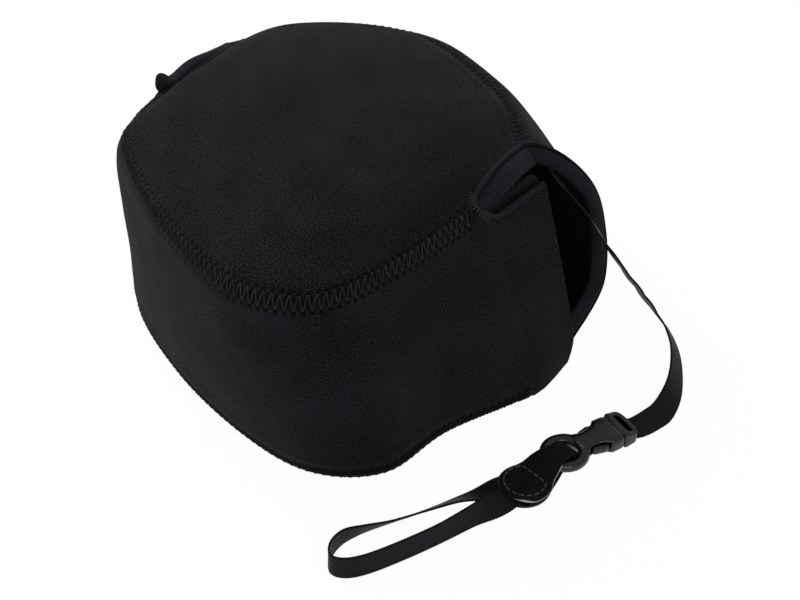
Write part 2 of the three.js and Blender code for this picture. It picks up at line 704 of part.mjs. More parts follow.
const frontLast = faces.front.length - 1;
add("top_panel", solidBetween(faces.top, innerFaces.top), "neoprene_top", cloth, 0.9);
add("bottom_panel", solidBetween(faces.base, innerFaces.base), "neoprene_bottom", cloth, 0.9);
add("front_wrap", wallPiece("front", FREE, frontLast - FREE, CUT_GAP, CUT_GAP), "neoprene_front", cloth, 0.9);
add("right_flap", wallPiece("front", frontLast - FREE, frontLast, CUT_GAP, 0),
  "neoprene_right_flap", cloth, 0.9);
add("left_flap", wallPiece("front", 0, FREE, 0, CUT_GAP), "neoprene_left_flap", cloth, 0.9);
add("back_wrap", wallPiece("back", 0, faces.back.length - 1, 0, 0), "neoprene_back", cloth, 0.9);
for (const [side, right] of [["right", true], ["left", false]]) {
  add(`${side}_hood_facing`, rod(hoodEdge(right), facingSection), `${side}_facing_cloth`, cloth, 0.85);
  add(`${side}_hood_piping`, rod(hoodEdge(right), pipingSection), `${side}_piping_cloth`, cloth, 0.8);
  add(`${side}_lip_roll`, rod(lipEdge(right), lipSection), `${side}_lip_cloth`, cloth, 0.85);
}
const thread = [0x2c, 0x2c, 0x30];
for (const [seam, from, trim] of [
  ["top_front", 1, CUT_GAP],
  ["top_back", 0, 1],
  ["base_front", 1, CUT_GAP],
  ["base_back", 0, 1],
]) {
  add(`${seam}_zigzag`, stitchBand(seam, from, SPAN - from, STITCH[1], trim), `${seam}_thread`, thread, 0.6);
}
for (const [name, seam, slot] of [["slot", "top_front", "bartack"], ["base", "base_front", "base"]]) {
  const end = (from) => stitchBand(seam, from, from + 1, BARTACK, CUT_GAP);
  add(`left_${name}_bartack`, end(0), `left_${slot}_thread`, thread, 0.6);
  add(`right_${name}_bartack`, end(SPAN - 1), `right_${slot}_thread`, thread, 0.6);
}
const satin = [0x1c, 0x1c, 0x1f];
add("tether_ribbon", ribbon(tetherRoute), "tether_satin", satin, 0.45);
add("tether_anchor_tack", anchorTack(), "anchor_thread", thread, 0.6);
add("tether_end_tack", endTack(), "end_thread", thread, 0.6);
const plastic = [0x24, 0x25, 0x27];
const placed = (solid, frame) => fromSolid(solid).applyMatrix4(frame);
add("buckle_male", placed(maleHalf(), buckleFrame), "male_plastic", plastic, 0.5);
add("latch_arm_left", placed(latchArm(1), buckleFrame), "left_arm_plastic", plastic, 0.5);
add("latch_arm_right", placed(latchArm(-1), buckleFrame), "right_arm_plastic", plastic, 0.5);
add("buckle_female", placed(femaleHalf(), buckleFrame), "female_plastic", plastic, 0.5);
const hide = [0x12, 0x12, 0x14];
add("leather_tab", placed(leatherTab(), tabFrame), "tab_leather", hide, 0.7);
add("tab_stitching", tabStitching().applyMatrix4(tabFrame), "tab_thread", [0x55, 0x55, 0x58], 0.6);
add("loop_ribbon", ribbon(loopRoute), "loop_satin", satin, 0.45);

export default group;
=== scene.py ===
from math import cos, pi, radians, sin

import bmesh
import bpy
import numpy as np
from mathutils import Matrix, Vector


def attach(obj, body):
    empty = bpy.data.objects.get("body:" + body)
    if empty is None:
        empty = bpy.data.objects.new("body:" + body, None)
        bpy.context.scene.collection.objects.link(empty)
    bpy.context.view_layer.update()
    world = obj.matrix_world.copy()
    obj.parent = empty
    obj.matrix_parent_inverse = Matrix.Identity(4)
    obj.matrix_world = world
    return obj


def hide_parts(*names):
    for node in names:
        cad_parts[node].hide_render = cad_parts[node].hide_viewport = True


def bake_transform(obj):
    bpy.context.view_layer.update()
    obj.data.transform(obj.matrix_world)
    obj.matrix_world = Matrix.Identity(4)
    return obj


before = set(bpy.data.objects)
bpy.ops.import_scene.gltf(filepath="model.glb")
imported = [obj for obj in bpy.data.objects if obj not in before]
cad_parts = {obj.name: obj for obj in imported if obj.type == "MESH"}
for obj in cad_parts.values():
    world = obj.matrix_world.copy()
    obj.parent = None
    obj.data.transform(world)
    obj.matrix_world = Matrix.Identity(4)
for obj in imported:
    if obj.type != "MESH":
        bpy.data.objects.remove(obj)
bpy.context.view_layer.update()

# The case in millimetres: the CAD model's own values, and what the visual cloth adds to them.
SLOT_SPAN = 132
NOSE_REACH = 74
BACK_REACH = 80
SLOT_LINE = np.array([-6.05, -7.2])
SEAM_HEIGHT = 71
BASE_SEAM = 5
CROWN = 12
FRONT_SWELL = 2.5
BACK_SWELL = 8
EAR_SWELL = (10, 5)
SHEET = 3.4
CHEEK_SWELL = 6.5     # more swell of the back wall beside its right end
EAR_PUFF, EAR_FOOT, EAR_HOLLOW = 3.0, 0.4, 2.5    # the right ear's swell high up and low down, the left ear's hollow
EAR_FORWARD = np.array([-3.0, -7.6, 0])    # how far the right ear's foot reaches forward
LEFT_PUFF, LEFT_HOLLOW = 3.6, 1.4    # the front wall by the left slot: a swell under the seam, a hollow below it
SLOT_CUT, SLOT_NOTCH = 7, 5.4    # how far the bottom and the hood are cut back beside a mouth
LEFT_NOTCH = 2.2      # how much further the hood is cut back on the left
HOOD_ARCH = 3
FLAP_TUCK = 2.2       # how far a flap's free edge draws in at mid height
FLAP_CORNER, CORNER_HIGH = 5.2, 11    # how far a flap's lower free corner is rounded off, and from what height
LIP_DROP, FLAP_STEP = 5.5, 6.6    # the flap's free corner and its lowest edge, below the seam
STEP_LONG = 7         # length over which the flap's edge steps down at its slot
LEFT_DROP = 2.0       # how much lower the left flap's free corner is
RIBBON_WIDE, RIBBON_THICK = 8.5, 0.6
BUCKLE_HALF = 6.4
RING_AT, RING_ROUND, RING_ROD = 19.2, 5.8, 1.2
TAB_HEAD_AT, TAB_HEAD_ROUND, TAB_NECK = 18.2, 8.3, 7
NECK_HALF = 3.9       # half width of the leather where it is folded
LEATHER_THICK = 1.1
TAB_SKIN = RING_ROUND - ((RING_ROUND - RING_ROD) ** 2 - TAB_NECK ** 2 / 4) ** 0.5 + 0.3 + LEATHER_THICK
BUCKLE_MID = TAB_SKIN + 0.04

# Fineness of the cloth: columns along a seam, columns of a flap, rows of a wall and of the top.
SEWN, FLAP, ROWS, DEPTH = 240, 40, 64, 120
FIRST, LAST = FLAP, FLAP + SEWN      # columns of the front wall at the two slots' closed ends
FLAP_JOIN = 5         # columns by which a flap reaches into the sewn wall
WALL_CLUSTER, TOP_CLUSTER = 0.62, 0.88    # how much closer the rows are by the seams
SEAM_ROUND = 3.8      # how far from the top seam its two sheets start to turn into each other
BASE_ROUND = 2.6      # the same for the bottom seam
SEAM_PUSH, BASE_PUSH = 1.3, 2.4    # how far the turn's control point stands out, so that the case keeps its size
SEAM_FADE = 5         # length over which a seam's turn fades out at a slot
SEAM_LEAST = 0.6      # how far the turn reaches where it has faded out
TUCKED = (0.34, 0.17)    # where the rows under the other sheet lie past the seam, as shares of the turn's reach
TRENCH_DEEP, TRENCH_WIDE = 0.75, 2.3    # the trench that the stitches pull in the cloth
PUFF_HIGH, PUFF_AT, PUFF_WIDE = 0.32, 6.2, 2.4    # the slight puff on either side of it
STITCH_REACH = 3.2    # needle holes either side of a seam
STITCH_PITCH = 2.75   # one full zigzag
THREAD_LIFT, THREAD_SINK = 0.8, 0.5    # how high a thread's middle lies, in radii, and how deep its ends go
FAR_AWAY = 99.0       # more than any distance from a seam that matters
BASE_TACK, SLOT_TACK, TETHER_TACK, TAB_SEWING = 0.2, 0.15, 0.22, 0.24    # radii of the other stitches' threads
CASE_MIDDLE = np.array([0, 0, SEAM_HEIGHT / 2])
UP = np.array([0, 0, 1.0])
EVERY, BACKWARDS = slice(None), slice(None, None, -1)
MM = 0.001


def unit(v):
    """Vectors divided by their lengths."""
    return v / np.maximum(np.linalg.norm(v, axis=-1, keepdims=True), 1e-12)


def square_to(axis, v):
    """Directions turned square to an axis: v less its part along the axis, at length 1."""
    return unit(v - axis * (v * axis).sum(-1, keepdims=True))


def ease(x):
    """Smooth step: 3x^2 - 2x^3 between 0 and 1."""
    x = np.clip(x, 0, 1)
    return x * x * (3 - 2 * x)


def bell(x, width):
    """A bell: e to the power of minus (x / width) squared."""
    return np.exp(-(x / width) ** 2)


def run(line):
    """Length along a line of points, from its first point to each."""
    return np.concatenate([[0], np.cumsum(np.linalg.norm(np.diff(line, axis=0), axis=-1))])


def between(length, at, values):
    """Numbers or vectors at given lengths, by straight steps between those known at some lengths."""
    if values.ndim == 1:
        return np.interp(length, at, values)
    return np.stack([np.interp(length, at, column) for column in values.T], -1)


def pick(line, length):
    """Points at given lengths along a line."""
    return between(length, run(line), line)


def rise(grid):
    """Length along each column of a grid, from its first row to each row."""
    step = np.linalg.norm(np.diff(grid, axis=1), axis=-1)
    return np.concatenate([np.zeros((len(grid), 1)), np.cumsum(step, axis=1)], axis=1)


def at_rise(grid, length):
    """Point of each column at a length from its first row, by straight steps."""
    at = rise(grid)
    column = np.arange(len(grid))
    row = np.clip((at < length[:, None]).sum(1) - 1, 0, grid.shape[1] - 2)
    part = (length - at[column, row]) / np.maximum(at[column, row + 1] - at[column, row], 1e-9)
    return grid[column, row] + (grid[column, row + 1] - grid[column, row]) * part[:, None]


def outward(grid):
    """Normals of a grid: the cross product of its column step and its row step."""
    return unit(np.cross(np.gradient(grid, axis=0), np.gradient(grid, axis=1)))


def smoothed(values, sigma):
    """Values along a line averaged with a bell of sigma steps; the ends are carried on straight."""
    reach = int(3 * sigma) + 1
    weight = np.exp(-0.5 * (np.arange(-reach, reach + 1) / sigma) ** 2)
    weight /= weight.sum()
    steps = np.arange(reach, 0, -1)[:, None]
    before = values[0] - (values[1] - values[0]) * steps
    after = values[-1] + (values[-1] - values[-2]) * steps[::-1]
    padded = np.vstack([before, values, after])
    return np.stack([np.convolve(column, weight, "valid") for column in padded.T], -1)


def spline(points, t):
    """Catmull-Rom curve through points: b + u/2 (c - a + u (2a - 5b + 4c - d + u (3b - 3c + d - a)))."""
    p = np.vstack([2 * points[0] - points[1], points, 2 * points[-1] - points[-2]])
    k = np.clip(t.astype(int), 0, len(points) - 2)
    u = (t - k)[:, None]
    a, b, c, d = p[k], p[k + 1], p[k + 2], p[k + 3]
    return b + u / 2 * (c - a + u * (2 * a - 5 * b + 4 * c - d + u * (3 * (b - c) + d - a)))


def stretch(points, first, last, at):
    """Points at fractions of the length of a smooth curve between two of its control points."""
    fine = spline(points, np.linspace(first, last, 3000))
    return pick(fine, np.asarray(at) * run(fine)[-1])


def plan(height, *rows):
    """Points at a height, from fractions of the slot span and fractions of the reach to nose or back."""
    across, along = np.array(rows, float).T
    reach = np.where(along < 0, NOSE_REACH, BACK_REACH)
    return np.stack([across * SLOT_SPAN / 2 + SLOT_LINE[0], along * reach + SLOT_LINE[1], 0 * across + height], -1)


def level_axes(turn):
    """Axes of a level frame turned about the upright: along it, across it and up."""
    return np.array([[cos(turn), sin(turn), 0], [-sin(turn), cos(turn), 0], [0, 0, 1]])


# Camera first, at the photograph's viewing angle.
def add_camera(azimuth, elevation, distance, target, lens):
    """A camera that looks at a target from a direction in degrees and a distance in metres."""
    a, e = radians(azimuth), radians(elevation)
    back = Vector((sin(a) * cos(e), -cos(a) * cos(e), sin(e)))
    data = bpy.data.cameras.new("camera")
    data.lens = lens
    data.sensor_width = 36
    camera = bpy.data.objects.new("camera", data)
    camera.location = Vector(target) + back * distance
    camera.rotation_euler = (-back).to_track_quat("-Z", "Y").to_euler()
    bpy.context.scene.collection.objects.link(camera)
    bpy.context.scene.camera = camera


add_camera(32, 39, 0.594, (0.03765, -0.0199, 0.033), 81)
bpy.context.scene.view_settings.view_transform = "Standard"


# Node helpers.
class Nodes:
    """A node tree with short calls for adding nodes; a socket given as an input is linked."""

    def __init__(self, tree):
        self.tree = tree

    def link(self, value, socket):
        if isinstance(value, bpy.types.NodeSocket):
            self.tree.links.new(value, socket)
        else:
            socket.default_value = value

    def add(self, kind, inputs=None, **settings):
        node = self.tree.nodes.new(kind)
        for key, value in settings.items():
            setattr(node, key, value)
        for key, value in (inputs or {}).items():
            self.link(value, node.inputs[key])
        return node

    def math(self, operation, *values):
        return self.add("ShaderNodeMath", dict(enumerate(values)), operation=operation).outputs[0]

    def plus(self, one, two):
        return self.math("ADD", one, two)

    def times(self, one, two):
        return self.math("MULTIPLY", one, two)

    def noise(self, vector, scale, detail=2, rough=0.5):
        inputs = {"Vector": vector, "Scale": scale, "Detail": detail, "Roughness": rough}
        return self.add("ShaderNodeTexNoise", inputs).outputs[0]

    def ramp(self, value, low, high, to_low=0.0, to_high=1.0):
        inputs = {"Value": value, "From Min": low, "From Max": high, "To Min": to_low, "To Max": to_high}
        return self.add("ShaderNodeMapRange", inputs, interpolation_type="SMOOTHSTEP").outputs[0]

    def mix(self, factor, one, two):
        return self.add("ShaderNodeMix", {0: factor, 6: one, 7: two}, data_type="RGBA").outputs[2]

    def split(self, vector):
        return self.add("ShaderNodeSeparateXYZ", {0: vector}).outputs

    def field(self, name):
        return self.add("ShaderNodeAttribute", attribute_name=name).outputs["Vector"]

    def group(self, tree, inputs):
        return self.add("ShaderNodeGroup", inputs, node_tree=tree).outputs


def grey(value, blue=1.3):
    """A near-black grey with a slightly blue cast, as a linear colour."""
    return (value, value, value * blue, 1)


def new_group(name, inputs, outputs):
    """An empty node group. Its inputs have their defaults, and one without is a vector; its outputs are numbers.
    Returns it, its nodes and its two ends."""
    tree = bpy.data.node_groups.new(name, "ShaderNodeTree")
    for label, default in inputs.items():
        kind = "NodeSocketVector" if default is None else "NodeSocketFloat"
        socket = tree.interface.new_socket(label, in_out="INPUT", socket_type=kind)
        if default is not None:
            socket.default_value = default
    for label in outputs:
        tree.interface.new_socket(label, in_out="OUTPUT", socket_type="NodeSocketFloat")
    return tree, Nodes(tree), tree.nodes.new("NodeGroupInput").outputs, tree.nodes.new("NodeGroupOutput").inputs


def make_knit():
    """Jersey face of the neoprene: a fine speckle of loops over faint wales, with clouds and stray lint, as a height,
    a tint and a lint mask."""
    tree, n, start, end = new_group(
        "jersey_face", {"Vector": None, "Wale": 1.1, "Rib": 0.4}, ("Height", "Tint", "Lint"))
    at = start["Vector"]
    x, y, _ = n.split(at)
    drift = n.noise(at, 0.22)
    bent = n.plus(n.math("DIVIDE", x, start["Wale"]), n.times(drift, 1.6))
    wale = n.math("SINE", n.times(bent, 2 * pi))
    course = n.math("SINE", n.plus(n.times(y, 8.0), n.times(wale, 1.3)))
    loops = n.plus(n.times(wale, start["Rib"]), n.times(course, 0.25))
    grain, fuzz = n.noise(at, 1.8, 3, 0.75), n.noise(at, 3.6, 2, 0.6)
    n.link(n.plus(n.plus(n.times(loops, 0.3), n.times(grain, 2.0)), fuzz), end["Height"])
    cloud = n.noise(at, 0.05, 3)
    tint = n.plus(n.plus(n.times(grain, 0.88), n.times(cloud, 0.12)), n.times(loops, 0.025))
    n.link(n.ramp(tint, 0.46, 0.56), end["Tint"])
    dots = n.add("ShaderNodeTexVoronoi", {"Vector": at, "Scale": 0.16, "Randomness": 1.0}).outputs["Distance"]
    some = n.noise(at, 0.05, 1)
    n.link(n.times(n.ramp(dots, 0.07, 0.02), n.ramp(some, 0.52, 0.58)), end["Lint"])
    return tree


def make_needle():
    """Sewing in the cloth: a dent and a painted shadow where the stitch count is whole and the distance is right, and
    painted shade between the threads."""
    tree, n, start, end = new_group("needle_holes", {"Seam": None}, ("Height", "Shade"))
    count, away, sewn = n.split(start["Seam"])
    along = n.times(n.math("PINGPONG", count, 0.5), STITCH_PITCH)
    slim = n.times(n.math("SUBTRACT", away, STITCH_REACH + 0.2), 0.8)
    gap = n.math("SQRT", n.plus(n.times(along, along), n.times(slim, slim)))
    # Painted shade in the strip between the zigzag's legs, and a painted shadow in each needle hole.
    trench = n.times(n.ramp(away, 3.2, 2.2), 0.6)
    dent = n.times(n.ramp(gap, 1.5, 0.2), sewn)
    n.link(n.times(dent, -1.0), end["Height"])
    n.link(n.times(n.math("MAXIMUM", n.ramp(gap, 0.85, 0.55), trench), sewn), end["Shade"])
    return tree


def make_weave():
    """Satin ribbon: fine warp floats along the ribbon and a soft unevenness, as a height and a tint."""
    tree, n, start, end = new_group("satin_weave", {"Vector": None}, ("Height", "Tint"))
    at = start["Vector"]
    x, y, _ = n.split(at)
    stretched = n.add("ShaderNodeVectorMath", {0: at, 1: (0.35, 4.2, 1.0)}, operation="MULTIPLY").outputs[0]
    floats = n.noise(stretched, 1.0, 2, 0.6)
    ribs = n.math("SINE", n.times(y, 2 * pi / 0.36))
    picks = n.math("SINE", n.plus(n.times(x, 2 * pi / 0.5), n.times(y, 2.1)))
    n.link(n.plus(n.plus(n.times(ribs, 0.4), n.times(picks, 0.25)), floats), end["Height"])
    edge = n.ramp(n.math("ABSOLUTE", y), 3.3, 3.9)
    n.link(n.ramp(n.plus(n.times(floats, 0.8), n.times(edge, -0.25)), 0.1, 0.75), end["Tint"])
    return tree


def make_grain():
    """Fine grain of moulded plastic and leather: two noises on object coordinates, as a height and a tint."""
    tree, n, start, end = new_group("fine_grain", {"Scale": 1000.0}, ("Height", "Tint"))
    at = n.add("ShaderNodeTexCoord").outputs["Object"]
    fine = n.noise(at, start["Scale"], 3)
    broad = n.noise(at, n.times(start["Scale"], 0.12), 3)
    n.link(fine, end["Height"])
    n.link(n.ramp(n.plus(n.times(fine, 0.5), n.times(broad, 0.5)), 0.3, 0.7), end["Tint"])
    return tree


JERSEY, NEEDLE, WEAVE, GRAIN = make_knit(), make_needle(), make_weave(), make_grain()


def new_finish(name, **constants):
    """A material with its Principled shader; constants are set on the shader's own sockets."""
    finish = bpy.data.materials.new(name)
    finish.use_nodes = True
    finish.node_tree.nodes.clear()
    n = Nodes(finish.node_tree)
    shader = n.add("ShaderNodeBsdfPrincipled", {k.replace("_", " "): v for k, v in constants.items()})
    n.add("ShaderNodeOutputMaterial", {"Surface": shader.outputs[0]})
    return finish, n, shader


def dress(n, shader, colour, tint, rough, height, relief):
    """The shader's colour, its roughness between two values by a tint, and a relief of some strength and depth."""
    n.link(colour, shader.inputs["Base Color"])
    n.link(n.ramp(tint, 0, 1, *rough), shader.inputs["Roughness"])
    strength, depth = relief
    node = n.add("ShaderNodeBump", {"Height": height, "Strength": strength, "Distance": depth})
    n.link(node.outputs[0], shader.inputs["Normal"])


def neoprene(name, dark, light, wale=1.1, rib=0.4, seams=True):
    """Jersey-faced neoprene: dark speckled cloth with faint wales, a little sheen and lint. A panel has needle holes
    by its seams, with a painted shadow in each hole and painted shade between the threads; a rolled edge gets
    painted shade where its field's third value marks it."""
    finish, n, shader = new_finish(
        name, Sheen_Weight=0.02, Sheen_Roughness=0.5, Specular_IOR_Level=0.06, Sheen_Tint=(0.85, 0.88, 1.0, 1))
    cloth = n.field("cloth")
    knit = n.group(JERSEY, {"Vector": cloth, "Wale": wale, "Rib": rib})
    height = knit["Height"]
    if seams:
        needle = n.group(NEEDLE, {"Seam": n.field("seam")})
        shade = n.times(needle["Shade"], 0.97)
        height = n.plus(height, n.times(needle["Height"], 3.5))
    else:
        shade = n.times(n.split(cloth)[2], 0.9)
    # Painted shade: needle holes, the strip between the threads and the marked places of a rolled edge go towards
    # black.
    colour = n.mix(shade, n.mix(knit["Tint"], grey(dark), grey(light)), (0.0004, 0.0004, 0.0004, 1))
    colour = n.mix(n.times(knit["Lint"], 0.3), colour, (0.07, 0.07, 0.08, 1))
    dress(n, shader, colour, knit["Tint"], (0.9, 0.74), height, (0.55, 0.00014))
    return finish


def textured(name, dark, light, blue, scale, rough, relief, **constants):
    """A finish between two greys that follows one texture: the fine grain at a scale, or else the satin weave."""
    finish, n, shader = new_finish(name, **constants)
    texture = n.group(GRAIN, {"Scale": scale}) if scale else n.group(WEAVE, {"Vector": n.field("cloth")})
    colour = n.mix(texture["Tint"], grey(dark, blue), grey(light, blue))
    dress(n, shader, colour, texture["Tint"], rough, texture["Height"], relief)
    return finish


def satin(name, dark, light):
    """Satin ribbon: long floats with a soft shine along them, duller selvedges."""
    return textured(
        name, dark, light, 1.25, None, (0.6, 0.42), (0.4, 0.00008), Specular_IOR_Level=0.06, Anisotropic=0.4)


def thread(name, dark, light):
    """Twisted polyester thread, worn by handling."""
    return textured(
        name, dark, light, 1.1, 2600.0, (0.75, 0.55), (0.5, 0.00006), Specular_IOR_Level=0.1, Sheen_Weight=0.03)


def moulded(name, dark, light):
    """Moulded plastic with a fine matt texture, rubbed a little smoother in patches."""
    return textured(name, dark, light, 1.05, 2200.0, (0.34, 0.22), (0.25, 0.00005), Specular_IOR_Level=0.46)


def leather(name):
    """Black leather with a fine napped face, a raw off-white cut edge along the upper leaf and a darker, browner one
    along the lower leaf.
    """
    finish, n, shader = new_finish(name, Specular_IOR_Level=0.09, Sheen_Weight=0.02)
    grain = n.group(GRAIN, {"Scale": 1500.0})
    tint = grain["Tint"]
    face = n.mix(tint, grey(0.0012), grey(0.0034))
    raw = n.mix(tint, (0.24, 0.22, 0.19, 1), (0.5, 0.47, 0.42, 1))
    # The lower leaf's cut edge is given a darker, browner colour.
    lower_edge_tone = n.mix(tint, (0.012, 0.008, 0.006, 1), (0.035, 0.024, 0.018, 1))
    pale, brown, _ = n.split(n.field("cut"))
    colour = n.mix(brown, n.mix(pale, face, raw), lower_edge_tone)
    dress(n, shader, colour, tint, (0.8, 0.6), grain["Height"], (0.5, 0.00012))
    return finish


# Painted shade: the top and bottom get a darker copy of the wall neoprene, to take down the extra lamp light on the
# top.
TOP_CLOTH_PAINTED_SHADE = neoprene("top_neoprene_painted_shade", 0.0002, 0.012)
WALL_CLOTH = neoprene("wall_neoprene", 0.0018, 0.0132, rib=0.5)
TRIM_CLOTH = neoprene("trim_neoprene", 0.007, 0.0165, wale=0.8, rib=0.2, seams=False)
SATIN = satin("satin_ribbon", 0.0045, 0.013)
THREAD = thread("seam_thread", 0.008, 0.022)
BASE_THREAD = thread("base_thread", 0.004, 0.012)
SLOT_THREAD = thread("slot_thread", 0.022, 0.05)
TAB_THREAD = thread("tab_thread", 0.035, 0.075)
PLASTIC = moulded("buckle_plastic", 0.002, 0.004)
LEATHER = leather("tab_leather")


# Mesh makers.
def quads(count, rows, columns, ring=False):
    """Faces of count grids of rows by columns of points, joined round the columns, and round the rows on a ring."""
    k = np.arange(count * rows * columns).reshape(count, rows, columns)
    k = np.pad(k, ((0, 0), (0, int(ring)), (0, 1)), mode="wrap")
    return np.stack([k[:, :-1, :-1], k[:, 1:, :-1], k[:, 1:, 1:], k[:, :-1, 1:]], -1).reshape(-1, 4)


def add_piece(name, points, faces, finish, fields=None):
    """A mesh from points in millimetres and quads; doubles are merged, so poles and seams close."""
    mesh = bpy.data.meshes.new(name)
    mesh.from_pydata((np.asarray(points, float).reshape(-1, 3) * MM).tolist(), [], faces.tolist())
    for field, values in (fields or {}).items():
        layer = mesh.attributes.new(field, "FLOAT_VECTOR", "POINT")
        layer.data.foreach_set("vector", np.asarray(values, np.float32).reshape(-1))
    work = bmesh.new()
    work.from_mesh(mesh)
    bmesh.ops.remove_doubles(work, verts=work.verts, dist=1e-6)
    bmesh.ops.recalc_face_normals(work, faces=work.faces)
    work.to_mesh(mesh)
    work.free()
    mesh.shade_smooth()
    mesh.set_sharp_from_angle(angle=radians(50))
    mesh.materials.append(finish)
    piece = bpy.data.objects.new(name, mesh)
    bpy.context.scene.collection.objects.link(piece)
    return piece


def add_grid(name, points, finish, fields=None):
    """A piece from one grid of points, joined round its columns."""
    return add_piece(name, points, quads(1, *points.shape[:2]), finish, fields)


def circle(count):
    """Even angles round a circle."""
    return np.linspace(0, 2 * pi, count, endpoint=False)


def superellipse(count, power):
    """Cosine and sine round a circle, each raised to 2 / power with its sign kept."""
    c, s = np.cos(circle(count)), np.sin(circle(count))
    return np.sign(c) * np.abs(c) ** (2 / power), np.sign(s) * np.abs(s) ** (2 / power)


def rounded_ends(length, radius):
    """Size of a section by its place along a rod, so that the ends close in a half-round."""
    near = np.clip(np.minimum(length, length[-1] - length) / radius, 0, 1)
    return np.sqrt(np.maximum(1 - (1 - near) ** 2, 0))


def sweep(path, one, two, s, t):
    """A section of (s, t) points carried along a path: path + one * s + two * t."""
    return path[:, None] + one[:, None] * s[..., None] + two[:, None] * t[..., None]


def extended(values, more, end):
    """Values with more of them added past their first or last, the nearest one first."""
    return np.concatenate([more[::-1], values] if end == 0 else [values, more])


def add_sheet(name, outer, fields, finish, slot, columns=EVERY, first="flat", last="flat", low="flat"):
    """A closed sheet under some columns of an outer grid. Each column is a loop: up the outer face, down the inner
    face, and under the low edge if that is round. An end column that is round shrinks to its middle line in a
    half-round; a flat one closes straight across. Fields are values on the outer grid, carried round the loop; the
    cloth field's third value is the depth under the outer face."""
    outer = outer[columns]
    normal = outward(outer)
    middle = outer - normal * SHEET / 2
    depth = np.full(len(outer), SHEET, float)
    turn = np.linspace(0, pi / 2, 7)[1:]
    index = np.arange(len(outer))
    for end, beside, shape in ((0, 1, first), (-1, -2, last)):
        away = square_to(normal[end], unit(outer[end] - outer[beside]))
        if shape == "round":
            more, sizes = middle[end] + away * (SHEET / 2 * np.sin(turn))[:, None, None], SHEET * np.cos(turn)
        else:
            more, sizes = middle[end][None], np.zeros(1)
        normal = extended(normal, np.repeat(normal[end][None], len(more), axis=0), end)
        index = extended(index, np.full(len(more), index[end]), end)
        middle, depth = extended(middle, more, end), extended(depth, sizes, end)
    half = normal * depth[:, None, None] / 2
    rows = np.arange(outer.shape[1])
    loop, row = [middle + half, (middle - half)[:, ::-1]], [rows, rows[::-1]]
    if low == "round":
        arc = np.linspace(0, pi, 8)[1:-1][None, :, None]
        down = unit(middle[:, 0] - middle[:, 1])[:, None]
        out = -half[:, 0][:, None]
        size = np.linalg.norm(out, axis=-1, keepdims=True)
        loop.append(middle[:, 0][:, None] + out * np.cos(arc) + down * size * np.sin(arc))
        row.append(np.zeros(arc.size, int))
    points, row = np.concatenate(loop, axis=1), np.concatenate(row)
    carried = {key: value[columns][index][:, row] for key, value in fields.items()}
    carried["cloth"][..., 2] += np.linalg.norm(points - outer[index][:, row], axis=-1)
    return add_grid(name, points, finish, carried)


# The cloth's seams and grids.
FRONT_TOP = plan(
    SEAM_HEIGHT, (-1.085, 0.375), (-0.955, -0.005), (-0.915, -0.2), (-0.8, -0.43), (-0.27, -0.78), (0.32, -1),
    (0.7, -0.92), (0.88, -0.56), (1, -0.03), (1.095, 0.375))
FRONT_BASE = plan(
    BASE_SEAM, (-1.14, 0.306), (-1.05, -0.055), (-0.785, -0.465), (-0.25, -0.765), (0.3, -0.94), (0.72, -0.975),
    (1.02, -0.81), (1.125, -0.455), (1.355, -0.045), (1.4, 0.3))
BACK_TOP = plan(SEAM_HEIGHT, (0.895, 0.475), (0.56, 0.76), (-0.12, 1), (-0.7, 0.81), (-0.895, 0.475))
BACK_TOP[[0, -1], 2] += 1    # the ears' tips
BACK_BASE = plan(
    BASE_SEAM, (1.38, 0.395), (1.23, 0.632), (0.79, 0.875), (-0.06, 1.05), (-0.76, 0.875), (-1.1, 0.63),
    (-1.19, 0.39))
SHARE = np.linspace(0, 1, SEWN + 1)


def flap_edge(points):
    """The front wall's edge: one free end, the sewn part, the other free end, each evenly spaced."""
    last = len(points) - 1
    free = np.linspace(0, 1, FLAP + 1)
    return np.vstack([
        stretch(points, 0, 1, free)[:-1],
        stretch(points, 1, last - 1, SHARE),
        stretch(points, last - 1, last, free)[1:],
    ])


def past_slots(edge):
    """How far each column lies past its slot's closed end, in millimetres and as a share of the flap."""
    at = run(edge)
    away = np.maximum(np.maximum(at[FIRST] - at, at - at[LAST]), 0)
    return away, away / np.where(at < at[FIRST], at[FIRST], at[-1] - at[LAST])


def wall(top, base, rows, swell):
    """A wall: straight from base to top by rows, plus a swell along the level normal of the top edge."""
    along = np.gradient(top, axis=0)
    out = unit(np.stack([along[:, 1], -along[:, 0], np.zeros(len(top))], -1))
    return base[:, None] + (top - base)[:, None] * rows[None, :, None] + out[:, None] * swell[..., None]


def evened(grid, rows):
    """The same sheet with its rows at given shares of the length of each column."""
    total = rise(grid)[:, -1]
    return np.stack([at_rise(grid, total * share) for share in rows], axis=1)


def belly(w):
    """A parabola: 0 at both seams and 1 midway."""
    return 4 * w * (1 - w)


def shoulder(w):
    """A slow sine rise to 0.55, then a round shoulder down to the top seam."""
    low = np.sin(pi * w / 1.1)
    high = np.sqrt(np.maximum(1 - (np.maximum(w - 0.55, 0) / 0.45) ** 2.5, 0))
    return np.where(w < 0.55, low, high)


def clustered(count, amount):
    """Steps from 0 to 1 that are closer at both ends: t - amount sin(2 pi t) / 2 pi."""
    t = np.linspace(0, 1, count + 1)
    return t - amount * np.sin(2 * pi * t) / (2 * pi)


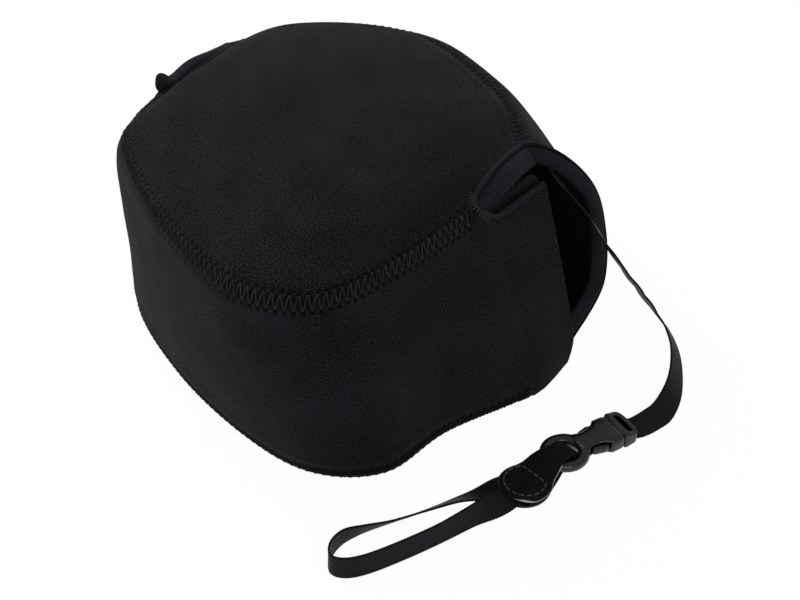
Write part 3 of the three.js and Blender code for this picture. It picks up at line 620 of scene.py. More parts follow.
def make_front(w):
    """The front wall with its two flaps: a swollen wall whose top edge steps down past the slots, and whose free
    edges draw in at mid height and at the lower corner. Returns it with its top and base edges."""
    top, base = flap_edge(FRONT_TOP), flap_edge(FRONT_BASE)
    left_flap = np.arange(len(top)) < FIRST
    away, share = past_slots(top)
    drop = FLAP_STEP * ease(away / STEP_LONG) - (FLAP_STEP - LIP_DROP) * share
    drop += np.where(left_flap, LEFT_DROP, 0) * share ** 4
    top += (base - top) * (drop / (SEAM_HEIGHT - BASE_SEAM))[:, None]
    along = ((np.arange(len(top)) - FIRST) / SEWN)[:, None]
    # The bells' places and widths are shares of the sewn length and of the wall's height.
    swell = FRONT_SWELL * belly(w) + LEFT_PUFF * bell(along - 0.06, 0.09) * bell(w - 0.88, 0.16) * (1 - w ** 12)
    front = wall(top, base, w, swell - LEFT_HOLLOW * bell(along - 0.12, 0.12) * bell(w - 0.38, 0.22))
    tucked = np.where(left_flap, -1, 1)[:, None] * unit(np.gradient(top, axis=0))
    height = w * (SEAM_HEIGHT - BASE_SEAM)
    rounded = FLAP_CORNER * np.maximum(1 - height / CORNER_HIGH, 0) ** 2
    front -= (tucked * (share ** 2)[:, None])[:, None] * (FLAP_TUCK * belly(w) + rounded)[:, None]
    return front, top, base


def make_back(w):
    """The back wall: a parabolic belly that turns into an ear with a round shoulder at each end, fuller by the right
    ear, whose foot reaches forward. Returns it with its top and base edges."""
    top, base = stretch(BACK_TOP, 0, 4, SHARE), stretch(BACK_BASE, 0, 6, SHARE)
    right, left = (np.maximum(0, 1 - 3 * n)[:, None] ** 2 for n in (SHARE, 1 - SHARE))
    ear = right + left
    full = BACK_SWELL + EAR_SWELL[0] * right + EAR_SWELL[1] * left
    swell = full * (belly(w) * (1 - ear) + shoulder(w) * ear)
    # From here on, places and widths are shares of the seam's length from the right and of the wall's height.
    cheek = ease((SHARE - 0.095) / 0.2) * (1 - ease((SHARE - 0.42) / 0.3))
    swell += CHEEK_SWELL * cheek[:, None] * ease((w - 0.3) / 0.5) * np.sqrt(1 - w ** 20)
    swell += right * (EAR_PUFF * bell(w - 0.75, 0.2) + EAR_FOOT * bell(w - 0.12, 0.12))
    swell -= EAR_HOLLOW * left * bell(w - 0.9, 0.12) * (1 - w ** 30)
    forward = right * EAR_FORWARD
    back = wall(top, base, w, swell) + forward[:, None] * (1 - ease(w / 0.3))[None, :, None]
    return back, top, base + forward


def make_grids():
    """Outer faces of the four sheets, before their seams are turned. Top and bottom run straight from edge to edge;
    the top has a crown, an arch at each hood and a notch by each slot, the bottom a rim that turns up to its seam."""
    fine, even = clustered(8 * ROWS, WALL_CLUSTER), clustered(ROWS, WALL_CLUSTER)
    front, front_top, front_base = make_front(fine)
    back, back_top, back_base = make_back(fine)
    side = (2 * SHARE - 1)[:, None]
    v = clustered(DEPTH, TOP_CLUSTER)[None]
    swell = belly(v)
    sewn_front = front_top[FIRST:LAST + 1][:, None]
    top = sewn_front + (back_top[::-1][:, None] - sewn_front) * v[..., None]
    top[..., 2] += CROWN * swell ** 0.7 * (1 - np.abs(side) ** 2.4) + HOOD_ARCH * swell * side ** 8
    notch = SLOT_NOTCH * (1 - v) * (1 - np.exp(-v / 0.06)) + np.where(side < 0, LEFT_NOTCH * bell(v - 0.65, 0.25), 0)
    top[..., 0] -= side ** 3 * notch

    sewn_base = front_base[FIRST:LAST + 1][:, None]
    back_line = back_base[::-1][:, None]
    bottom = back_line + (sewn_base - back_line) * v[..., None]
    edge = 2 * v - 1
    rim = np.minimum(1, (np.abs(side) ** 6 + np.abs(edge) ** 6) ** (1 / 6))
    bottom[..., 2] = BASE_SEAM * np.maximum(0, (rim - 0.75) / 0.25) ** 1.5
    bottom[..., 0] -= side ** 3 * SLOT_CUT * (1 - edge ** 6)
    return evened(front, even), evened(back, even), top, bottom


FRONT, BACK, TOP, BOTTOM = make_grids()


def make_seam(one, two, turn, push, first=0, last=SEWN):
    """A seam between two grids whose first rows meet: at each column the points at a reach from the seam on both
    sheets, the seam's point pushed out a little, and the way out, square to the seam and to the line between those
    points. Past the sewn columns, sheet one runs on straight."""
    at = run(one[:, 0])
    inside = np.minimum(at - at[first], at[last] - at)
    full = ease(inside / SEAM_FADE)
    reach = SEAM_LEAST + (turn - SEAM_LEAST) * full
    near, middle = at_rise(one, reach), one[:, 0]
    far = 2 * middle - near
    far[first:last + 1] = at_rise(two, reach[first:last + 1])
    out = unit(np.cross(np.gradient(middle, axis=0), far - near))
    out *= np.sign((out * (middle - CASE_MIDDLE)).sum(-1, keepdims=True))
    middle = middle + out * (push * full)[:, None]
    return {"at": at - at[first], "one": near, "mid": middle, "two": far, "out": out, "reach": reach, "full": full}


def across_seam(one, mid, two, u):
    """Quadratic curve across a seam: (1-u)^2 one + 2u(1-u) mid + u^2 two."""
    u = u[..., None]
    return (1 - u) ** 2 * one + 2 * u * (1 - u) * mid + u ** 2 * two


def seam_drop(away):
    """How deep the stitching pulls the cloth: a trench under the threads and a slight puff beside it."""
    return TRENCH_DEEP * bell(away, TRENCH_WIDE) - PUFF_HIGH * bell(np.abs(away) - PUFF_AT, PUFF_WIDE)


def turned(grid, seam):
    """A grid whose first row is a seam, with the rows near it on the seam's round strip and two rows more tucked
    under the other sheet. Returns the grid and each point's distance from the seam."""
    reach = seam["reach"][:, None]
    away = np.concatenate([*(-share * reach for share in TUCKED), rise(grid)], axis=1)
    flat = np.concatenate([grid[:, :1], grid[:, :1], grid], axis=1)
    u = np.clip(0.5 - away / (2 * reach), 0, 1)
    curved = across_seam(*(seam[key][:, None] for key in ("one", "mid", "two")), u)
    points = np.where((away < reach)[..., None], curved, flat)
    drop = seam_drop(away) * seam["full"][:, None] + np.where(away < 0, 0.5 * away ** 2, 0)
    return points - drop[..., None] * seam["out"][:, None], away


def from_sheet_two(seam, columns):
    """Some columns of a seam, seen from sheet two."""
    part = {key: value[columns] for key, value in seam.items()}
    return {**part, "one": part["two"], "two": part["one"]}


TOP_FRONT = make_seam(FRONT[:, ::-1], TOP, SEAM_ROUND, SEAM_PUSH, FIRST, LAST)
BASE_FRONT = make_seam(FRONT, BOTTOM[:, ::-1], BASE_ROUND, BASE_PUSH, FIRST, LAST)
TOP_BACK = make_seam(BACK[:, ::-1], TOP[::-1, ::-1], SEAM_ROUND, SEAM_PUSH)
BASE_BACK = make_seam(BACK, BOTTOM[::-1], BASE_ROUND, BASE_PUSH)


def two_seams(grid, first, last, shift):
    """A sheet turned at the seams of its first and last rows, with two fields. The seam field is the stitch count,
    the distance and the share of sewing at the nearer seam, for the needle holes. The cloth field is the place on the
    cloth in millimetres: length along the middle row, and length up each column."""
    points, first_away = turned(grid, first)
    points, last_away = turned(points[:, ::-1], last)
    points, last_away = points[:, ::-1], np.abs(last_away[:, ::-1])
    first_away = np.abs(np.pad(first_away, ((0, 0), (0, len(TUCKED))), constant_values=FAR_AWAY))
    near = first_away < last_away
    at, share = (np.where(near, first[key][:, None], last[key][:, None]) for key in ("at", "full"))
    seam = np.stack([at / STITCH_PITCH + shift, np.minimum(first_away, last_away), share], -1)
    along = run(points[:, points.shape[1] // 2])[:, None] + 0 * near
    return points, {"seam": seam, "cloth": np.stack([along, rise(points), 0 * along], -1)}


def add_panels():
    """The top, bottom, back and front sheets; the front is cut into its middle and its two flaps."""
    sewn = slice(FIRST, LAST + 1)
    top = two_seams(TOP, from_sheet_two(TOP_FRONT, sewn), from_sheet_two(TOP_BACK, BACKWARDS), 0.0)
    bottom = two_seams(BOTTOM, from_sheet_two(BASE_BACK, BACKWARDS), from_sheet_two(BASE_FRONT, sewn), 0.0)
    back = two_seams(BACK, BASE_BACK, TOP_BACK, 0.5)
    front = two_seams(FRONT, BASE_FRONT, TOP_FRONT, 0.5)
    middle = slice(FIRST + FLAP_JOIN, LAST - FLAP_JOIN + 1)
    left, right = slice(1, FIRST + FLAP_JOIN + 1), slice(LAST - FLAP_JOIN, len(FRONT) - 1)
    return {
        "top": add_sheet("top_cloth", *top, TOP_CLOTH_PAINTED_SHADE, "neoprene_top"),
        "bottom": add_sheet("bottom_cloth", *bottom, TOP_CLOTH_PAINTED_SHADE, "neoprene_bottom"),
        "back": add_sheet("back_cloth", *back, WALL_CLOTH, "neoprene_back"),
        "front": add_sheet("front_cloth", *front, WALL_CLOTH, "neoprene_front", middle),
        "left": add_sheet(
            "left_flap_cloth", *front, WALL_CLOTH, "neoprene_left_flap", left, first="round", low="round"),
        "right": add_sheet(
            "right_flap_cloth", *front, WALL_CLOTH, "neoprene_right_flap", right, last="round", low="round"),
    }


# Rims, facings and lips round each mouth.
MOUTH_STEP = 0.4      # between the points of a mouth's edge
EDGE_SMOOTH, WAY_SMOOTH = 5.0, 7.0    # smoothing of that edge and of the sheet's way out, in steps
LIP_END = 1.5         # how far before the slot's closed end the lip is cut from the hood
END_ROUND = 2.2       # radius of a roll's free end
MITRE, MITRE_LONG = 0.22, 0.9    # how much thinner a facing is at the hood's corner, and over what length
FACING_POINTS, FACING_AROUND = 28, 18    # points round a facing, and its cloth from one side round to the other
RIM_POINTS, RIM_AROUND = 18, 6    # the same for a rim
RIM_SINK = 0.5        # how far the middle of a rim lies below the sheet's face


def mouth_path(side):
    """The edge of a mouth as one line: the flap's top edge from its free corner, round the slot's closed end, along
    the hood, down the ear, and along the bottom panel. Returns its points, the edge's way into the opening, the
    sheet's way out, the length along it, and the lengths of its three corners."""
    column, end, sign = (-1, 0, 1) if side == "right" else (0, -1, -1)
    flap = np.arange(len(FRONT) - 1, LAST, -1) if side == "right" else np.arange(0, FIRST)

    def edges(front, top, back, bottom):
        """The mouth's four edges, from values on the four grids."""
        return front[flap, -1], top[column], back[end, ::-1], bottom[column]

    lines = edges(FRONT, TOP, BACK, BOTTOM)
    ways = edges(*(outward(grid) for grid in (FRONT, TOP, BACK, BOTTOM)))
    corners = np.cumsum([run(line)[-1] for line in lines])
    line, way = (np.vstack([a, b, c[1:], d[1:]]) for a, b, c, d in (lines, ways))
    length = np.arange(0, run(line)[-1], MOUTH_STEP)
    path = smoothed(pick(line, length), EDGE_SMOOTH)
    along = unit(np.gradient(path, axis=0))
    two = square_to(along, unit(smoothed(between(length, run(line), way), WAY_SMOOTH)))
    return path, np.cross(along, two) * sign, two, run(path), corners


# Sections round a mouth, by place: the flap's corner, the flap, the slot's end, the hood's start and end, the ear and
# the bottom. The facing's lean from the sheet's plane, its width and half thickness, and where it starts; the rim.
MOUTH = {
    "right": {
        "lean": (-82, -84, -50, -22, -20, -72, -80),
        "long": (5.0, 5.2, 3.4, 7.0, 7.2, 5.6, 3.0),
        "half": (2.4, 2.7, 1.5, 1.7, 1.7, 1.6, 1.0),
        "start_s": (1.9, 2.5, 1.3, 1.7, 1.7, 0.6, 0.2),
        "start_t": (-1.7, -1.6, -1.5, -1.0, -1.0, -0.8, -1.0),
        "rim": (1.0, 1.05, 1.05, 1.05, 1.05, 0.9, 0.6),
        "rim_s": (0.9, 0.95, 0.95, 0.95, 0.95, 0.2, 0.1),
    },
    "left": {
        "lean": (-70, -60, 55, 45, 5, -72, -80),
        "long": (3.0, 3.4, 7.0, 6.2, 3.0, 4.0, 3.0),
        "half": (1.2, 1.4, 3.2, 1.9, 1.2, 1.3, 1.0),
        "start_s": (0.2, 0.4, 0.6, 0.9, 0.9, 0.4, 0.2),
        "start_t": (-1.8, -1.6, -0.6, -0.4, -0.6, -0.8, -1.0),
        "rim": (1.0, 1.05, 1.05, 1.05, 1.0, 0.9, 0.6),
        "rim_s": (0.9, 0.95, 0.95, 0.95, 0.6, 0.2, 0.1),
    },
}


def by_place(length, corners, values):
    """A value along a mouth's path, given at its seven places, with straight steps between; the ear's holds all down
    the ear."""
    a, b, c = corners[:3]
    places = [0, a - 6, a, a + 5, b - 2.5, b + 2.5, c - 12, c + 4]
    return np.interp(length, places, [values[k] for k in (0, 1, 2, 3, 4, 5, 5, 6)])


def add_mouth(side):
    """The rim, a thin round roll on the edge, and inside it the facing, a flat soft roll whose section is a rounded
    bar that starts beside the rim and leans into the mouth. Each is cut at the slot's closed end into a part on the
    flap and a part on the hood. Its field is the place round the roll, the place along it, and how much painted
    shade it gets there."""
    path, one, two, length, corners = mouth_path(side)
    cut = int(np.searchsorted(length, corners[0] - LIP_END))
    mitre = 1 - MITRE * bell(length - corners[1], MITRE_LONG)[:, None]
    pieces = {}

    def roll(kind, keep, section, around, groove_shade):
        """A section carried along the kept part of the edge."""
        place = length[keep] - length[keep][0]
        cloth = np.stack(
            np.broadcast_arrays(np.linspace(0, around, len(groove_shade))[None], place[:, None], groove_shade[None]), -1)
        points = sweep(path[keep], one[keep], two[keep], *section)
        return add_grid(f"{side}_{kind}", points, TRIM_CLOTH, {"cloth": cloth})

    for part, keep, inner, facing_slot, rim_slot in (
        ("lip", slice(0, cut + 1), -1, "lip", "lip"), ("hood", slice(cut, None), 0, "facing", "piping"),
    ):
        value = {key: by_place(length, corners, row)[keep, None] for key, row in MOUTH[side].items()}
        place = length[keep] - length[keep][0]
        by_cut = place > place[-1] / 2 if part == "lip" else place < place[-1] / 2
        shut = np.where(by_cut, 1, rounded_ends(place, END_ROUND))
        shut[inner] = 0
        shut = shut[:, None]
        c, s = superellipse(FACING_POINTS, 2.3)
        flat = value["long"] / 2 * (1 + c * shut)
        thick = value["half"] * mitre[keep] * s * shut
        turn = np.radians(value["lean"])
        section = (value["start_s"] + flat * np.cos(turn) - thick * np.sin(turn),
                   value["start_t"] + flat * np.sin(turn) + thick * np.cos(turn))
        # Painted shade along the facing's edge beside the rim.
        groove_shade = (0.5 - 0.5 * np.cos(circle(FACING_POINTS))) ** 7
        pieces[part] = roll(f"{part}_facing", keep, section, FACING_AROUND, groove_shade)
        c, s = superellipse(RIM_POINTS, 2.0)
        radius = value["rim"] * shut
        # Painted shade along both sides of the rim.
        groove_shade = np.abs(np.cos(circle(RIM_POINTS))) ** 5
        section = value["rim_s"] + radius * c, -RIM_SINK + radius * s
        pieces[f"{part}_rim"] = roll(f"{part}_rim", keep, section, RIM_AROUND, groove_shade)
    return pieces


# Threads.
def add_threads(name, paths, ups, radius, finish, sides=6):
    """Separate threads: each row of points is a thread with a round section, closed at both ends."""
    along = unit(np.gradient(paths, axis=1))
    up = square_to(along, ups)
    across = np.cross(along, up)
    a = circle(sides)
    size = np.full(paths.shape[1], radius)
    size[[0, -1]] = 0
    ring = up[:, :, None] * np.cos(a)[:, None] + across[:, :, None] * np.sin(a)[:, None]
    points = paths[:, :, None] + ring * size[:, None, None]
    return add_piece(name, points, quads(len(paths), paths.shape[1], sides), finish)


def on_strip(seam, length, across):
    """Points and ways out on a seam's strip, at lengths along it and distances across, positive on sheet one."""
    def at(values):
        """The seam's values at the lengths."""
        return between(length, seam["at"], values)

    one, mid, two, reach, full = (at(seam[key]) for key in ("one", "mid", "two", "reach", "full"))
    out, ahead = unit(at(seam["out"])), unit(at(np.gradient(seam["mid"], axis=0)))
    u = 0.5 - across / (2 * reach)
    slope = 2 * (1 - u[..., None]) * (mid - one) + 2 * u[..., None] * (two - mid)
    away = unit(np.cross(unit(slope), ahead))
    away = away * np.sign((away * out).sum(-1, keepdims=True))
    return across_seam(one, mid, two, u) - out * (seam_drop(across) * full)[..., None], away


def add_zigzag(name, seam, margin, reach, radius, finish, slot):
    """Zigzag sewing: legs between needle holes on either side of a seam, each leg rising from one hole, lying on the
    cloth and going down at the next."""
    sewn = seam["at"][seam["full"] > 0.001] if len(seam["at"]) > SEWN + 1 else seam["at"]
    count = int((sewn[-1] - margin) / STITCH_PITCH)
    leg = np.arange(int(np.ceil(2 * margin / STITCH_PITCH)), 2 * count)
    t = np.linspace(0, 1, 9)[None]
    length = (leg[:, None] + t) / 2 * STITCH_PITCH
    way = np.where(leg % 2 == 0, 1, -1)[:, None]
    across = way * np.minimum(reach, 0.9 * between(length, seam["at"], seam["reach"])) * (2 * t - 1)
    points, up = on_strip(seam, length, across)
    lift = THREAD_LIFT * radius - (THREAD_LIFT * radius + THREAD_SINK) * np.abs(2 * t - 1) ** 7
    return add_threads(name, points + up * lift[..., None], up, radius, finish)


def add_base_tack(side):
    """Dense stitches straight across the bottom seam, at its end by a slot."""
    end, way = (BASE_FRONT["at"][LAST], -1) if side == "right" else (0.0, 1)
    stitch = np.arange(9)[:, None]
    t = np.linspace(-1, 1, 7)[None]
    points, up = on_strip(BASE_FRONT, end + way * (1.2 + 0.5 * stitch) + 0 * t, (0.5 + 0.16 * stitch) * t)
    points = points + up * (0.16 - THREAD_SINK * t ** 6)[..., None]
    return add_threads(f"{side}_base_stitches", points, up, BASE_TACK, BASE_THREAD)


def add_slot_stitches(side):
    """Satin stitches fanned round the slot's closed end: each starts in the cloth, lies on it and ends on the outer
    side of the rim."""
    path, one, two, length, corners = mouth_path(side)
    at = corners[0] + np.linspace(-5, 7, 13)
    t = np.linspace(0, 1, 11)
    s = -1.5 + 2.3 * t
    h = np.interp(t, [0, 0.1, 0.55, 0.8, 0.93, 1], [-0.4, 0.1, 0.28, 0.7, 0.86, 0.6])
    centre, a, b = (between(at, length, values) for values in (path, one, two))
    points = sweep(centre, unit(a), unit(b), s[None], h[None])
    ups = np.repeat(unit(b)[:, None], len(t), 1)
    return add_threads(f"{side}_slot_stitches", points, ups, SLOT_TACK, SLOT_THREAD)


# Ribbons.
RIBBON_STEP = 0.3     # between the points of a ribbon's path
LEAN_SMOOTH = 8       # smoothing of its lean, in steps
PICOT, PICK = 0.09, 0.9    # how far its edges are drawn in, and the length from pick to pick
TACK_HALF = 3.6       # half length of the stitches across it


def ribbon_route(route):
    """A smooth line through [x, y, z, lean] points, with the ribbon's width direction and face at each step. Lean 0
    stands it on edge and 90 lays it flat; a point with no height rests on the floor."""
    lean = np.radians([row[3] for row in route])
    rest = (np.abs(np.cos(lean)) * RIBBON_WIDE + np.abs(np.sin(lean)) * RIBBON_THICK) / 2
    points = np.array([(x, y, r + 0.1 if z is None else z) for (x, y, z, _), r in zip(route, rest)])
    t = np.linspace(0, len(route) - 1, 60 * (len(route) - 1) + 1)
    fine = spline(points, t)
    length = np.arange(0, run(fine)[-1], RIBBON_STEP)
    path = pick(fine, length)
    lean = np.interp(np.interp(length, run(fine), t), np.arange(len(route)), lean)
    lean = smoothed(lean[:, None], LEAN_SMOOTH)
    along = unit(np.gradient(path, axis=0))
    up = square_to(along, UP)
    one = up * np.cos(lean) + np.cross(along, up) * np.sin(lean)
    return path, one, np.cross(along, one)


def add_ribbon(name, route):
    """A flat ribbon: a thin rounded section, a little thicker at its selvedges, whose edges are drawn in between the
    picks of the weft. Returns it, its path, and its width direction and face along that."""
    path, one, two = ribbon_route(route)
    length = run(path)
    c, s = superellipse(28, 7.0)
    picot = PICOT * np.cos(2 * pi * length / PICK)
    across = (RIBBON_WIDE / 2 - 0.1 + picot)[:, None] * c
    selvedge = 1 + 0.3 * bell(np.abs(c) - 0.9, 0.12)
    up = np.repeat((RIBBON_THICK / 2 * s * selvedge)[None], len(path), 0)
    up[[0, -1]] = 0
    cloth = np.stack(np.broadcast_arrays(length[:, None], across, 0.0), -1)
    return add_grid(name, sweep(path, one, two, across, up), SATIN, {"cloth": cloth}), path, one, two


def add_ribbon_tack(name, ribbon, length):
    """Stitches straight across a ribbon's face, in a short dense row about a length along it."""
    at = length + np.linspace(-0.75, 0.75, 5)
    middle, wide, face = (between(at, run(ribbon[0]), values) for values in ribbon)
    t = np.linspace(-1, 1, 9)
    lift = RIBBON_THICK / 2 + 0.2 - 0.45 * t ** 8
    points = sweep(middle, wide, face, (TACK_HALF * t)[None], lift[None])
    return add_threads(name, points, np.repeat(face[:, None], len(t), 1), TETHER_TACK, THREAD)


BUCKLE_TURN = radians(-117)
BUCKLE_AXES = level_axes(BUCKLE_TURN)
BUCKLE_MOUTH = np.array([119.85 + SLOT_LINE[0], -3.84 + SLOT_LINE[1], BUCKLE_MID])


def on_buckle(points):
    """Points from the buckle's own frame: along it from its mouth, across it, and above its middle."""
    return np.asarray(points, float) @ BUCKLE_AXES + BUCKLE_MOUTH


def from_slots(rows):
    """Route points given from the middle of the slot line."""
    return [(x + SLOT_LINE[0], y + SLOT_LINE[1], z, lean) for x, y, z, lean in rows]


def buckle_rows(rows):
    """Route points given in the buckle's own frame."""
    return [(*on_buckle((a, y, z)), lean) for a, y, z, lean in rows]


TETHER_ROUTE = from_slots([
    (50.4, 50.4, 65.4, 57), (53.4, 48.4, 64.2, 48), (58.5, 46.4, 62.4, 40), (64.5, 44.4, 61.8, 38),
    (70.8, 41.2, 61.9, 38), (76.2, 37.6, 60.4, 40), (81.6, 36.8, 57.0, 47), (86.9, 37.2, 51.7, 51),
    (93.6, 37.7, 43.2, 57), (99.9, 40.7, 32.6, 70), (104.4, 44.1, 24, 71), (109.1, 46.6, 16, 55),
    (114.9, 46.4, 10, 38), (120.2, 42.4, 6, 30), (124.8, 34.2, None, 34), (127.8, 25, None, 44),
    (128.6, 16, None, 60), (127.2, 10.2, 2.3, 70),
]) + buckle_rows([(-9.4, 1.2, -1.4, 76), (-7, 0.6, -1.2, 86), (-4.8, 0, -0.8, 90), (-2.6, 0, -0.3, 90)])
LOOP_ROUTE = from_slots([
    (104.5, -35.5, 1.75, -90), (102.5, -39, 1.75, -90), (99.4, -43.8, 1.75, -90), (95.9, -49.6, 1.4, -72),
    (91.7, -57.2, None, -50), (86.2, -66.2, None, -42), (79.5, -76, None, -40), (74, -84, None, -26),
    (71, -90, None, -8), (71, -96.3, None, -2), (74, -100.6, None, 0), (78.4, -100, None, -4),
    (83.2, -95.2, None, -4), (89.1, -85.3, None, -4), (95.5, -72.5, None, -4), (101, -58.8, None, -14),
    (104, -50, 3.0, -62), (105.6, -44.6, 2.6, -90), (107, -39, 2.6, -90),
])
tether, *tether_lie = add_ribbon("tether_satin_ribbon", TETHER_ROUTE)
loop, *loop_lie = add_ribbon("wrist_loop_ribbon", LOOP_ROUTE)
tether_path, loop_path = tether_lie[0], loop_lie[0]


# Buckle.
def loft(along, wide, high, power, count):
    """Rows of rounded rectangles along the buckle: (along, wide * cos, high * sin), each to the power 2 / power."""
    c, s = superellipse(count, np.asarray(power, float)[:, None])
    return np.stack(np.broadcast_arrays(along[:, None], wide[:, None] * c, high[:, None] * s), -1)


def add_socket():
    """Female half: a cup lofted along the buckle. Rows run from the pocket's floor to the mouth, round its lip and
    back along the outside to the nose. Both sides are scooped out between the mouth's band and the nose, and open
    there in a window whose edges join the inside to the outside. The eye is a ring at the nose."""
    around, spread = 72, 7      # points round the cup, and how far a window spreads either way
    band, floor = 4.2, 12.6     # from the mouth to the windows, and to the pocket's floor
    a = np.concatenate([np.linspace(0, band, 9), np.linspace(band, floor - 0.5, 21)[1:], [floor]])
    first, last = 9, 28         # rows where a window starts and ends
    scoop = np.sin(pi * np.clip((a - band) / (floor + 0.6 - band), 0, 1)) ** 0.8
    wide = np.interp(a, [0, 0.5, 2, band, 13], [6.1, 6.35, 6.4, 6.4, 5.1]) - 1.7 * scoop
    high = np.interp(a, [0, 0.5, 2, 7, floor], [2.85, 3.02, 3.1, 3.1, 2.4]) - 0.25 * scoop
    in_wide = np.minimum(5.05, wide - 0.4)
    in_high = np.minimum(1.75, high - 0.5)
    nose = np.array([13.2, 13.9, 14.4, 14.7, 14.85, 14.9])
    along = np.concatenate([[floor], a[::-1], [-0.3], a, nose])
    widths = np.concatenate([[0], in_wide[::-1], [5.95], wide, [5.0, 5.05, 4.9, 4.2, 3.0, 0]])
    heights = np.concatenate([[0], in_high[::-1], [2.7], high, [2.2, 1.95, 1.7, 1.3, 0.8, 0]])
    power = np.concatenate([np.full(len(a) + 1, 8.0), [6], np.full(len(a), 4.2), np.linspace(4, 3, 6)])
    points = loft(along, widths, heights, power, around)
    rows = len(along)
    index = np.arange(rows * around).reshape(rows, around)
    faces = quads(1, rows, around).reshape(rows - 1, around, 4)
    keep = np.ones((rows - 1, around), bool)
    inner, outer = len(a), len(a) + 2
    bridges = []
    for middle in (0, around // 2):
        edge = [(first, k) for k in range(-spread, spread + 1)]
        edge += [(r, spread) for r in range(first + 1, last + 1)]
        edge += [(last, k) for k in range(spread - 1, -spread - 1, -1)]
        edge += [(r, -spread) for r in range(last - 1, first - 1, -1)]
        row, column = np.array(edge).T
        column = (middle + column) % around
        near, far = index[outer + row, column], index[inner - row, column]
        bridges.append(np.stack([near[:-1], near[1:], far[1:], far[:-1]], -1))
        columns = (middle + np.arange(-spread, spread)) % around
        keep[outer + first:outer + last, columns] = False
        keep[inner - last:inner - first, columns] = False
    u = circle(around)[:, None]
    c, s = superellipse(20, 2.6)
    rod = RING_ROD + 0.6 + 0.35 * bell(u - pi, 0.9)
    out = RING_ROUND + 0.5 + rod * c
    tall = RING_ROD + 0.4 + 0.3 * bell(u - pi, 1.1)
    ring = np.stack(np.broadcast_arrays(RING_AT + out * np.cos(u), out * np.sin(u), tall * s), -1)
    everything = np.concatenate([points.reshape(-1, 3), ring.reshape(-1, 3)])
    faces = np.concatenate([faces[keep], *bridges, quads(1, *ring.shape[:2], ring=True) + rows * around])
    return add_piece("buckle_socket", on_buckle(everything), faces, PLASTIC)


def add_yoke():
    """Male half: a square block with a web slot, as sections carried round the slot from its edge to the block's
    outside. The block is lower at its end, where a bar stands over the ribbon. A tongue reaches into the socket."""
    t = circle(120)
    ahead = np.cos(t) > 0

    def outline(at, long, wide, front, back):
        """A level outline, (at + long * cos, wide * sin), each to one power ahead and another behind."""
        c, s = superellipse(len(t), 2 / np.where(ahead, front, back))
        return np.stack([at + long * c, wide * s, 0 * t], -1)

    outer, inner = outline(-3.5, 3.1, 6.3, 0.2, 0.62), outline(-3.9, 1.1, 4.4, 0.25, 0.6)
    middle, half = (outer + inner) / 2, (outer - inner) / 2
    bar = ease((-4.9 - middle[:, 0]) / 0.7) * ease((5.2 - np.abs(middle[:, 1])) / 0.6)
    high = 2.85 - 0.8 * ease((-1.2 - middle[:, 0]) / 4)
    high = high + (1.2 - high) * bar
    middle[:, 2] = 0.8 * bar
    q, r = superellipse(24, 5.5)
    block = middle[:, None] + half[:, None] * q[:, None] + UP * (high[:, None] * r)[..., None]
    a = np.array([-1.4, -1.4, 0, 3, 6, 8, 8.7, 9])
    wide = np.array([0, 1, 1, 1, 1, 0.9, 0.6, 0])
    high = np.array([0, 1.1, 1.1, 1.1, 1.1, 1, 0.7, 0])
    tongue = loft(a, wide, high, np.full(len(a), 4), 16)
    points = np.concatenate([block.reshape(-1, 3), tongue.reshape(-1, 3)])
    faces = [quads(1, *block.shape[:2], ring=True), quads(1, *tongue.shape[:2]) + block.size // 3]
    return add_piece("buckle_yoke", on_buckle(points), np.concatenate(faces), PLASTIC)


def add_arm(name, sign):
    """Latch arm: a springy bar along the socket that swells to a thumb pad at its window; a rounded section carried
    along a bent line."""
    a = np.linspace(-0.4, 11.1, 60)
    inner = 0.52 * BUCKLE_HALF
    outer = np.interp(a, [0, 4.4, 5.2, 7, 10.2, 11.1], np.array([0.69, 0.69, 0.87, 0.93, 0.8, 0.74]) * BUCKLE_HALF)
    outer = smoothed(outer[:, None], 1.5)
    size = rounded_ends(a - a[0], 0.7)[:, None]
    q, r = superellipse(18, 3.4)
    y = (inner + outer) / 2 + (outer - inner) / 2 * size * q
    points = np.stack(np.broadcast_arrays(a[:, None], y * sign, 1.3 * size * r), -1)
    return add_grid(f"latch_{name}", on_buckle(points), PLASTIC)


# Leather tab.
TAB_AXES = level_axes(BUCKLE_TURN + radians(12))
TAB_CENTRE = on_buckle((RING_AT, 0, 0))
FOLD_ROUND = RING_ROD + 0.4 + 0.15 + LEATHER_THICK / 2     # half height of the fold round the ring, to its middle
FOLD_REACH = 8.4      # how far the loose fold reaches from the ring's rod into its eye
FOLD_AT = 7.0         # where the leaves meet the fold
LEAF_ACROSS = 31      # points across the leather


def on_tab(points):
    """Points from the tab's own frame: out from the ring's centre, across, and above the buckle's middle."""
    return np.asarray(points, float) @ TAB_AXES + TAB_CENTRE


def tab_width(out):
    """Half width of the tab by the distance from the ring's centre: the neck, a smooth widening, then a round
    head."""
    neck = NECK_HALF + (TAB_HEAD_ROUND - NECK_HALF) * ease((out - 4.5) / (TAB_HEAD_AT - 4.5))
    head = np.sqrt(np.maximum(TAB_HEAD_ROUND ** 2 - np.maximum(out - TAB_HEAD_AT, 0) ** 2, 0))
    return np.where(out < TAB_HEAD_AT, neck, head)


def leaf_height(out, across):
    """Height of the upper leaf: it comes down from the fold to a flat head whose rim is pressed to the lower leaf,
    but not at the tip, where the ribbon comes out. Across is the share of the way from the middle line to the rim,
    and on the head it is never less than the share of the way to the tip."""
    across = np.maximum(across, np.clip((out - TAB_HEAD_AT) / TAB_HEAD_ROUND, 0, 1))
    level = np.interp(out, [0, 8.0, 10, 12, 14, 30], [FOLD_ROUND, FOLD_ROUND - 0.1, 1.4, 0.2, -0.3, -0.5])
    return level - 1.4 * (1 - 0.8 * ease((out - 21) / 4)) * across ** 4 * ease((out - 9) / 5)


